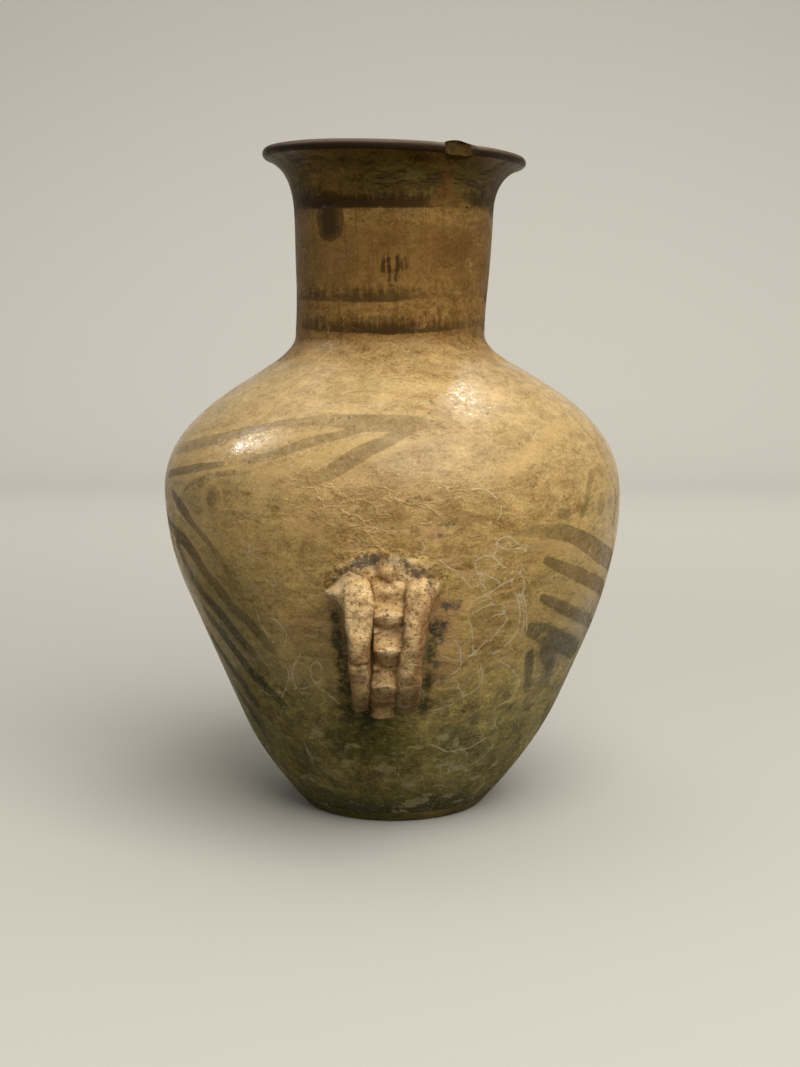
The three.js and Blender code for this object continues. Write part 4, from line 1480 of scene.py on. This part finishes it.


# Colour of the foot: caked soil darkened as painted shade and tinted with painted green light from below,
# wiped and scuffed, damp in places and flaking off, with a painted contact shadow at the bottom
def foot_soil_and_shade(recipe, colour, height, low, tone):
    caked = recipe.noise(24, 7, 0.60, 0.9, (1, 1, 1.3))
    # Soil low on the jar, darkened as painted shade and tinted with painted green light from below
    soil_and_shade = recipe.times(low, recipe.ramp(caked, 0.40, 0.58, 0.3, 1.0))
    colour = recipe.coats(colour, (recipe.toned(FOOT_OLIVE, tone), soil_and_shade, 0.85))
    wiped = recipe.noise(26, 7, 0.66, 1.2, (1.5, 1.5, 0.7))
    scuffed = recipe.noise(95, 6, 0.68, 0.9, (1.2, 1.2, 0.8))
    streaked = recipe.times(
        recipe.ramp(wiped, 0.34, 0.66, 0.78, 1.38), recipe.ramp(scuffed, 0.32, 0.68, 0.62, 1.45),
    )
    colour = recipe.toned(colour, streaked, recipe.ramp(height, *STREAKED_ZONE))
    # Patches darkened by damp and by painted shade, tinted with painted green light from below
    damp_and_shade = recipe.plus(recipe.mark("damp_and_shade"), recipe.swing(recipe.noise(32, 6, 0.66, 0.5), 0.9))
    colour = recipe.toned(colour, DAMP_SHADE_AND_GREEN_LIGHT, recipe.ramp(damp_and_shade, 0.1, 0.9))
    torn = recipe.swing(recipe.noise(140, 7, 0.72), 2.4)
    lost = recipe.ramp(recipe.plus(recipe.mark("flake"), torn), 0.50, 0.60)
    strewn = recipe.times(low, recipe.ramp(recipe.noise(70, 5, 0.62, 0.6), 0.62, 0.67))
    flaked = recipe.most(lost, strewn)
    colour = recipe.coats(
        colour,
        # Painted contact shadow at the very foot
        (OLIVE_BLACK, recipe.ramp(height, *FOOT_SHADOW_ZONE, 0, 0.75)),
        (FLAKE_PALE, flaked, recipe.ramp(scuffed, 0.35, 0.6, 0.5, 0.9)),
    )
    return colour, flaked


# Burnished slip of the body, with its strokes, its wear, its stains and its painted shade
def burnished_slip_finish():
    finish, recipe, shader = new_finish("burnished_slip", 0.32)
    grains = recipe.effect(sand, scale=1.0)
    lines = recipe.effect(scratches, width=0.006)["Mask"]
    ground = recipe.effect(slip_ground, contrast=1.0)
    tone = recipe.effect(grime, scale=1.7, contrast=0.9)["Tone"]
    wear = recipe.mark("wear")
    inside = recipe.mark("inside")
    height = recipe.along("Z")
    low = recipe.ramp(height, *LOW_ZONE)
    pale = brushed(recipe, "pale", "pale_strength", edge=0.6, loss=0.3)
    colour = recipe.coats(ground["Colour"], (SLIP_PALE, pale, 0.65))
    colour, worn, ridges = rubbed_front(recipe, colour, height, wear)
    colour, flaked = foot_soil_and_shade(recipe, colour, height, low, tone)
    wash = brushed(recipe, "wash", "wash_strength", edge=2.0, loss=0.5)
    soft_edge = recipe.ramp(height, *SOFT_EDGE_ZONE, 0.3, 1.3)
    dark = brushed(recipe, "dark", "strength", wobble=1.3, loss=0.3, edge=soft_edge)
    paint = recipe.coats(
        PAINT_BLACK,
        (PAINT_BROWN, recipe.ramp(recipe.noise(25, 5, 0.65), 0.35, 0.65)),
        (OLIVE_BLACK, recipe.ramp(height, *BLACKENED_ZONE)),
    )
    paint = recipe.toned(paint, tone)
    roots = recipe.effect(
        root_marks, distance=recipe.mark("trace"), aside=recipe.mark("trace_aside"),
        above=recipe.mark("trace_above"), width=0.5, stray=0.7,
    )
    gritty = recipe.swing(recipe.noise(130, 7, 0.72), 1.6)
    speckled = recipe.ramp(recipe.noise(420, 5, 0.7), 0.36, 0.55, 0.45, 1.0)
    # Soil and painted shade on the wall beside and below the handle
    caught = recipe.plus(recipe.mark("soil_and_shade"), recipe.times(gritty, 0.6))
    behind = recipe.times(recipe.ramp(caught, 0.22, 0.85), speckled)
    colour = recipe.coats(
        colour,
        (paint, wash, 0.22),
        (paint, dark, 0.9),
        (ROOT_PALE, roots["Mask"], 0.8),
        (ROOT_PALE, lines, recipe.plus(0.3, recipe.times(low, 0.5))),
        (PAINT_BLACK, grains["Dark grains"], 0.25),
        (ROOT_PALE, grains["Pale grains"], recipe.plus(0.25, recipe.times(low, 0.4))),
        (PAINT_BLACK, grains["Pits"], 0.6),
        (OLIVE_BLACK, behind, 0.9),
    )
    colour = bare_inside(recipe, sooted(recipe, ashen(recipe, colour, gritty)), inside)
    gloss = recipe.plus(
        recipe.ramp(recipe.noise(320, 5, 0.7), 0.36, 0.62, 0.06, 0.3),
        recipe.ramp(recipe.noise(45, 4), 0.4, 0.6, 0, 0.14),
    )
    dulled = recipe.sums(
        (worn, 0.25), (low, 0.5), (dark, 0.15), (behind, 0.5), (recipe.mark("damp_and_shade"), 0.45), (flaked, -0.35),
    )
    smoothest = recipe.plus(recipe.times(inside, 0.8), 0.08)
    roughness = recipe.most(recipe.plus(gloss, dulled), smoothest)
    strokes = recipe.noise(90, 2, 0.5, 0, (1, 1, 5))
    uneven = recipe.plus(recipe.times(wear, 0.5), recipe.times(low, 0.8), 0.1)
    relief = recipe.sums(
        (grains["Height"], uneven), (strokes, 0.4), (recipe.noise(75, 3, 0.5), 1.0),
        (ground["Blotch"], uneven), (worn, -0.4), (ridges, 0.8), (flaked, -0.8), (lines, -0.3),
    )
    complete(recipe, shader, colour, roughness, relief, 0.5, 0.8 * MM)
    return finish


# Painted bands of the neck: solid along their lower edges, brushed upright above, with a run of paint
def neck_bands(recipe, colour, edge):
    teeth = recipe.noise(62, 3, 0.6, 0, (8, 8, 0.8))
    above = recipe.mark("above")
    strength = recipe.mark("strength")
    ragged = recipe.swing(teeth, recipe.ramp(above, -2.0, 1.0, 1.0, 13.0))
    distance = recipe.plus(recipe.mark("dark"), ragged)
    band = recipe.effect(aged_paint, distance=distance, strength=strength, edge=edge, wobble=1.4, loss=0.3)
    thinned = recipe.ramp(recipe.plus(above, recipe.swing(teeth, 14.0)), -1.0, 3.0, 1.0, 0.4)
    run = recipe.plus(recipe.mark("drip"), recipe.swing(recipe.noise(130, 5, 0.65), 0.3))
    core = recipe.ramp(run, 0.34, 0.9, 0.55, 0.95)
    return recipe.coats(
        colour, (NECK_BAND, band["Mask"], thinned), (NECK_BAND, recipe.ramp(run, 0.33, 0.38), core),
    )


# Darker clouds of the neck, broken up by noise
def neck_cloud(recipe, faintest):
    broken = recipe.ramp(recipe.noise(70, 6, 0.68), 0.3, 0.65, faintest, 1.0)
    return recipe.times(recipe.mark("cloud"), broken)


# Colour with the corner of the top band that has worn through to the clay
def worn_corner(recipe, colour):
    corner = recipe.plus(recipe.mark("corner"), recipe.swing(recipe.noise(90, 6, 0.68), 1.2))
    clay = recipe.blend(recipe.ramp(recipe.noise(110, 6, 0.7), 0.35, 0.65), NECK_RED, NECK_TAN)
    return recipe.blend(recipe.ramp(corner, 0.4, 0.75, 0, 0.75), colour, clay)


# Streaked tan slip of the neck under its painted bands
def neck_slip_finish():
    finish, recipe, shader = new_finish("neck_slip", 0.12)
    grains = recipe.effect(sand, scale=1.0)
    lines = recipe.effect(scratches, width=0.006)["Mask"]
    ground = recipe.effect(slip_ground, contrast=1.0)
    inside = recipe.mark("inside")
    upright = recipe.noise(42, 6, 0.7, 0, (9, 9, 0.7))
    hair = recipe.noise(120, 4, 0.6, 0, (9, 9, 0.5))
    height = recipe.along("Z")
    zone = recipe.plus(height, recipe.swing(upright, 0.010))
    brown = recipe.times(recipe.ramp(zone, *NECK_BROWN_FROM), recipe.ramp(zone, *NECK_BROWN_TO))
    streaks = recipe.ramp(recipe.sums((upright, 0.6), (hair, 0.5)), 0.53, 0.68, 0, 0.75)
    colour = recipe.coats(
        ground["Colour"],
        (NECK_BROWN, brown, 0.4),
        (NECK_BROWN, streaks, recipe.ramp(height, *NECK_STREAK_ZONE)),
        (NECK_RED, neck_cloud(recipe, 0.5), 0.75),
    )
    colour = recipe.coats(
        worn_corner(recipe, neck_bands(recipe, colour, 0.5)),
        (NECK_BAND, grains["Dark grains"], 0.35),
        (NECK_BAND, grains["Pits"], 0.5),
        (SLIP_PALE, lines, 0.25),
    )
    colour = bare_inside(recipe, colour, inside)
    gloss = recipe.ramp(recipe.noise(60, 5, 0.65), 0.3, 0.7, 0.34, 0.55)
    roughness = recipe.most(gloss, recipe.times(inside, 0.9))
    relief = recipe.sums((grains["Height"], 0.3), (hair, 0.5), (upright, 0.5), (ground["Blotch"], 0.5))
    complete(recipe, shader, colour, roughness, relief, 0.4, 0.8 * MM)
    return finish


# Cracked paint of the rim, dark on the lip and rubbed and lightened as a painted highlight on its crest,
# with the scar of the chip
def rim_paint_finish():
    finish, recipe, shader = new_finish("rim_paint", 0.06)
    grains = recipe.effect(sand, scale=1.0)
    ground = recipe.effect(slip_ground, contrast=1.2)
    inside = recipe.mark("inside")
    level = recipe.noise(18, 4, 0.6, 0, (1, 1, 6))
    cracks = recipe.off_middle(recipe.noise(24, 4, 0.6, 0.4, (1, 1, 7)))
    crack = recipe.times(recipe.ramp(cracks, 0.03, 0.004), recipe.ramp(recipe.noise(40, 3), 0.40, 0.52))
    colour = recipe.coats(
        ground["Colour"],
        (NECK_BAND, neck_cloud(recipe, 0.4), 0.62),
        (NECK_BAND, recipe.ramp(level, 0.50, 0.62, 0, 0.45)),
    )
    colour = neck_bands(recipe, colour, recipe.ramp(recipe.along("Z"), *LIP_EDGE_ZONE, 0.5, 3.0))
    colour = worn_corner(recipe, recipe.coats(colour, (RIM_DARK, crack, 0.75)))
    worn_edge = recipe.swing(recipe.noise(60, 5, 0.65), 1.4)
    lip = recipe.ramp(recipe.plus(recipe.mark("lip"), worn_edge), 0.4, 0.6)
    # Crest of the lip rubbed, and lightened as a painted highlight
    rubbed = recipe.times(recipe.mark("crest"), recipe.ramp(level, 0.38, 0.62, 0.5, 1.0))
    broken = recipe.ramp(recipe.plus(recipe.mark("broken"), recipe.times(worn_edge, 0.3)), 0.3, 0.6)
    fracture = recipe.blend(recipe.ramp(recipe.noise(150, 6, 0.7), 0.35, 0.65), NECK_BAND, RIM_SCAR)
    colour = recipe.coats(
        colour,
        (recipe.blend(rubbed, RIM_DARK, RIM_PURPLE_AND_HIGHLIGHT), lip),
        (fracture, broken),
        (NECK_BAND, grains["Dark grains"], 0.3),
        (NECK_BAND, grains["Pits"], 0.5),
    )
    colour = bare_inside(recipe, colour, inside)
    gloss = recipe.ramp(recipe.noise(70, 5, 0.65), 0.3, 0.7, 0.3, 0.55)
    roughness = recipe.most(gloss, recipe.times(recipe.most(inside, broken), 0.88))
    relief = recipe.sums((grains["Height"], 0.4), (level, 0.4), (crack, -0.8), (ground["Blotch"], 0.6))
    complete(recipe, shader, colour, roughness, relief, 0.45, 0.8 * MM)
    return finish


# Scraped clay of the base, with soil on it
def base_clay_finish():
    finish, recipe, shader = new_finish("base_clay", 0.2)
    grains = recipe.effect(sand, scale=0.8)
    aged = recipe.effect(grime, scale=1.3, contrast=1.3)
    scrapes = recipe.noise(40, 5, 0.65, 0.3, (1, 5, 1))
    ground = recipe.blend(recipe.ramp(recipe.noise(28, 6, 0.68), 0.45, 0.68), FOOT_OLIVE, RAW_CLAY)
    colour = recipe.coats(
        recipe.toned(ground, aged["Tone"]),
        (PAINT_BROWN, recipe.ramp(scrapes, 0.5, 0.8, 0, 0.4)),
        (PAINT_BLACK, grains["Dark grains"], 0.4),
        (ROOT_PALE, grains["Pale grains"], 0.3),
    )
    roughness = recipe.ramp(scrapes, 0.3, 0.7, 0.7, 0.9)
    relief = recipe.sums((grains["Height"], 0.6), (scrapes, 0.8))
    complete(recipe, shader, colour, roughness, relief, 0.5, 1.2 * MM)
    return finish


# Rubbed pale clay of the handles, with painted shade in their grooves, hollows and downward steps, on the
# sides that face the wall and at their lower ends, and a painted lit tone on their ledges and painted
# highlight on their crests
def handle_clay_finish():
    finish, recipe, shader = new_finish("handle_clay", 0.15)
    grains = recipe.effect(sand, scale=0.75)
    aged = recipe.effect(grime, scale=1.2, contrast=0.6)
    slip = recipe.effect(slip_ground, contrast=1.0)["Colour"]
    stain = recipe.noise(60, 8, 0.70, 0.6)
    mottle = recipe.noise(150, 7, 0.72, 0.5)
    step = recipe.times(recipe.mark("step"), recipe.ramp(mottle, 0.36, 0.56, 0.6, 1.0))
    groove_shade = recipe.times(recipe.mark("groove_shade"), recipe.ramp(mottle, 0.36, 0.54, 1.0, 0.5))
    ruddy = recipe.times(recipe.mark("ruddy"), recipe.ramp(stain, 0.36, 0.54, 0.5, 1.0))
    colour = recipe.coats(
        HANDLE_TAN,
        (HANDLE_PALE, recipe.ramp(mottle, 0.40, 0.58)),
        (HANDLE_RED, recipe.ramp(stain, 0.53, 0.59, 0, 0.7)),
        (HANDLE_BROWN, recipe.ramp(stain, 0.45, 0.38, 0, 0.6)),
        # Painted lit tone on the ledges that face up, painted shade on the steps below them, painted
        # highlight on the rubbed crests, and painted shade in the hollows, on the wall side of the coils and
        # in the grooves
        (HANDLE_TAN, recipe.mark("lit_ledge"), 0.5),
        (HANDLE_RED, step, 0.3),
        (HANDLE_CREAM_AND_HIGHLIGHT, recipe.mark("worn_and_lit_brink"), recipe.ramp(mottle, 0.34, 0.5, 0.6, 1.0)),
        (HANDLE_BROWN, recipe.mark("hollow"), 0.15),
        (HANDLE_BROWN, recipe.mark("under"), 0.7),
        (HANDLE_BROWN, groove_shade, 0.8),
        (HANDLE_RED, ruddy),
    )
    colour = recipe.blend(recipe.mark("spread"), recipe.toned(colour, aged["Tone"]), slip)
    gritty = recipe.swing(recipe.noise(130, 7, 0.72), 1.6)
    # Painted shade towards the lower ends, where the coils turn back into the wall
    low_end_shade = recipe.ramp(recipe.plus(recipe.mark("low_end_shade"), recipe.times(gritty, 1.3)), 0.45, 1.25)
    specks = recipe.ramp(recipe.noise(520, 4, 0.62), 0.57, 0.66)
    colour = recipe.coats(
        ashen(recipe, colour, gritty),
        (HANDLE_DARK, low_end_shade, 0.55),
        (HANDLE_BROWN, specks, 0.8),
        (HANDLE_BROWN, grains["Dark grains"], 0.3),
        (ROOT_PALE, grains["Pale grains"], 0.35),
        (HANDLE_DARK, grains["Pits"], 0.7),
    )
    roughness = recipe.ramp(stain, 0.3, 0.7, 0.6, 0.9)
    relief = recipe.sums(
        (grains["Height"], 0.7), (recipe.noise(200, 6, 0.66), 1.2), (aged["Blotch"], 1.2), (specks, -0.6),
    )
    complete(recipe, shader, sooted(recipe, colour), roughness, relief, 0.7, 1.0 * MM)
    return finish


burnished_slip = burnished_slip_finish()
neck_slip = neck_slip_finish()
rim_paint = rim_paint_finish()
base_clay = base_clay_finish()
handle_clay = handle_clay_finish()


# Joints between the strips, as distances along the outside and under the inside of the wall
INNER_HEIGHTS = inside_point(WALL_LENGTHS)[:, 1]
BASE_INNER = np.interp(BASE_THICKNESS, INNER_HEIGHTS[:CURVE_POINTS], WALL_LENGTHS[:CURVE_POINTS])
BASE_JOINT = (BASE_SEAM_LENGTH, BASE_INNER)


# Joints that share a run of the wall evenly between strips
def lap_joints(start, end, count):
    return [(at, at - STRIP_LAP) for at in np.linspace(start, end, count + 1)[1:]]


joints = [BASE_JOINT]
joints += lap_joints(BASE_SEAM_LENGTH, BELLY_AT, LOWER_STRIPS)
joints += lap_joints(BELLY_AT, SHOULDER_AT, SHOULDER_STRIPS)
joints += lap_joints(SHOULDER_AT, NECK_TOP_AT, NECK_STRIPS)
strip_names = [f"lower_wall_strip_{i + 1}" for i in range(LOWER_STRIPS)]
strip_names += [f"shoulder_strip_{i + 1}" for i in range(SHOULDER_STRIPS)]
strip_names += [f"neck_strip_{i + 1}" for i in range(NECK_STRIPS)]

base_form = turned_form(*base_outline(BASE_JOINT), closed=False)
finished_piece("clay_base", base_form, shaped_body, base_clay, "root", "base_disc")
for node, lower, upper in zip(strip_names, joints, joints[1:]):
    strip = turned_form(*strip_outline(lower, upper), closed=True)
    if node.startswith("neck"):
        finished_piece(f"clay_{node}", strip, shaped_neck, neck_slip, "root", node)
    else:
        finished_piece(f"clay_{node}", strip, shaped_body, burnished_slip, "root", node)
rim_form = turned_form(*rim_outline(joints[-1]), closed=True)
finished_piece("clay_rim", rim_form, shaped_rim, rim_paint, "root", "rim_strip")

for side, turn in (("front", 0), ("rear", 1)):
    for coil, (section, end_height) in COIL_FORMS.items():
        shaper = coil_shaper(section, end_height, turn)
        node = f"{side}_handle_{coil}"
        finished_piece(f"clay_{node}", rolled_coil(), shaper, handle_clay, "root", node)
    node = f"{side}_handle_root_pad"
    finished_piece(f"clay_{node}", clay_slab(), pad_shaper(turn), handle_clay, "root", node)

# Stage in metres, with its colours as the camera sees it and as it lights the jar
FLOOR_FRONT = -2.4
FLOOR_BACK = 1.6
FLOOR_HALF_WIDTH = 4.0
SWEEP_RADIUS = 0.9
SWEEP_STEPS = 24
BACKDROP_RISE = 2.6
PALER_FROM = 0.2
STAGE_MERGE = 1e-5
STAGE_ROUGHNESS = 0.9
FLOOR_SEEN = (0.60, 0.59, 0.55, 1)
BACKDROP_SEEN = (0.93, 0.92, 0.86, 1)
FLOOR_BOUNCE = (0.10, 0.095, 0.075, 1)


# Floor that sweeps up into a backdrop
def floor_sweep():
    form = bmesh.new()
    ends = [form.verts.new((side * FLOOR_HALF_WIDTH, FLOOR_FRONT, 0)) for side in (-1, 1)]
    edge = form.edges.new(ends)
    floor = bmesh.ops.extrude_edge_only(form, edges=[edge])["geom"]
    back = of_kind(floor, bmesh.types.BMVert)
    bmesh.ops.translate(form, verts=back, vec=(0, FLOOR_BACK - FLOOR_FRONT, 0))
    edges = of_kind(floor, bmesh.types.BMEdge)
    far_edge = [part for part in edges if all(vert in back for vert in part.verts)]
    swept = bmesh.ops.spin(
        form, geom=back + far_edge, cent=(0, FLOOR_BACK, SWEEP_RADIUS), axis=(1, 0, 0),
        angle=math.pi / 2, steps=SWEEP_STEPS,
    )["geom_last"]
    risen = bmesh.ops.extrude_edge_only(form, edges=of_kind(swept, bmesh.types.BMEdge))["geom"]
    bmesh.ops.translate(form, verts=of_kind(risen, bmesh.types.BMVert), vec=(0, 0, BACKDROP_RISE))
    bmesh.ops.remove_doubles(form, verts=form.verts, dist=STAGE_MERGE)
    bmesh.ops.recalc_face_normals(form, faces=form.faces)
    return form


# Pale stage that throws back only a little light on the jar
def stage_finish():
    finish, recipe, shader = new_finish("pale_stage", 0.2)
    light = recipe.node("ShaderNodeLightPath").outputs
    seen = recipe.most(light["Is Camera Ray"], light["Is Glossy Ray"], light["Is Transmission Ray"])
    farther = recipe.ramp(recipe.along("Y"), PALER_FROM, FLOOR_BACK)
    pale = recipe.blend(farther, FLOOR_SEEN, BACKDROP_SEEN)
    recipe.tree.links.new(recipe.blend(seen, FLOOR_BOUNCE, pale), shader.inputs["Base Color"])
    shader.inputs["Roughness"].default_value = STAGE_ROUGHNESS
    return finish


floor_mesh = bpy.data.meshes.new("stage_floor")
floor_form = floor_sweep()
floor_form.to_mesh(floor_mesh)
floor_form.free()
floor_mesh.shade_smooth()
floor_mesh.materials.append(stage_finish())
stage_floor = bpy.data.objects.new("stage_floor", floor_mesh)
bpy.context.collection.objects.link(stage_floor)

# Lamps: name, place, what it faces, size, power and colour
LAMPS = (
    ("key_above_right", (0.7, -1.25, 1.85), (0, 0, 0.15), (2.4, 2.4), 52, (1.0, 0.96, 0.88)),
    ("ceiling", (0.1, 0.6, 2.2), (0, 0, 0.15), (2.6, 2.6), 15, (1.0, 0.96, 0.88)),
    ("lamp_left", (-1.02, 0.22, 1.15), (-0.05, 0, 0.19), (0.17, 0.46), 7.2, (1.0, 0.96, 0.90)),
    ("lamp_right", (0.42, 0.48, 1.42), (0.03, 0, 0.2), (0.10, 0.06), 3.6, (1.0, 0.96, 0.90)),
)


# Oval lamp turned to face a target
def aimed_lamp(name, place, target, size, power, colour):
    light = bpy.data.lights.new(name, "AREA")
    light.shape = "ELLIPSE"
    light.size, light.size_y = size
    light.energy = power
    light.color = colour
    lamp = bpy.data.objects.new(name, light)
    lamp.location = place
    facing = np.array(target) - np.array(place)
    tilt = math.atan2(math.hypot(facing[0], facing[1]), -facing[2])
    heading = math.atan2(facing[0], -facing[1]) + math.pi
    lamp.rotation_euler = (tilt, 0, heading)
    bpy.context.collection.objects.link(lamp)


for lamp in LAMPS:
    aimed_lamp(*lamp)

# The two small lamps only make the glints
for name in ("lamp_left", "lamp_right"):
    bpy.data.objects[name].visible_diffuse = False

# Light from all round, and the plain wall that the camera sees past the stage
WORLD_SKY = (1.0, 0.97, 0.90, 1)
SKY_STRENGTH = 0.30
WORLD_SEEN = (0.55 / SKY_STRENGTH, 0.54 / SKY_STRENGTH, 0.50 / SKY_STRENGTH, 1)

world = bpy.data.worlds.new("pale_room")
world.use_nodes = True
bpy.context.scene.world = world
sky = Recipe(world.node_tree)
backdrop = world.node_tree.nodes["Background"]
camera_ray = sky.node("ShaderNodeLightPath").outputs["Is Camera Ray"]
world.node_tree.links.new(sky.blend(camera_ray, WORLD_SKY, WORLD_SEEN), backdrop.inputs["Color"])
backdrop.inputs["Strength"].default_value = SKY_STRENGTH

lens = bpy.data.cameras.new("camera")
lens.sensor_width = SENSOR
lens.lens = FOCAL_PIXELS * SENSOR / IMAGE_HEIGHT
lens.clip_start = NEAR_CLIP
camera = bpy.data.objects.new("camera", lens)
camera.location = CAMERA_PLACE
camera.rotation_euler = (math.pi / 2 - CAMERA_PITCH, 0, 0)
bpy.context.collection.objects.link(camera)
bpy.context.scene.camera = camera
bpy.context.scene.view_settings.view_transform = "Standard"
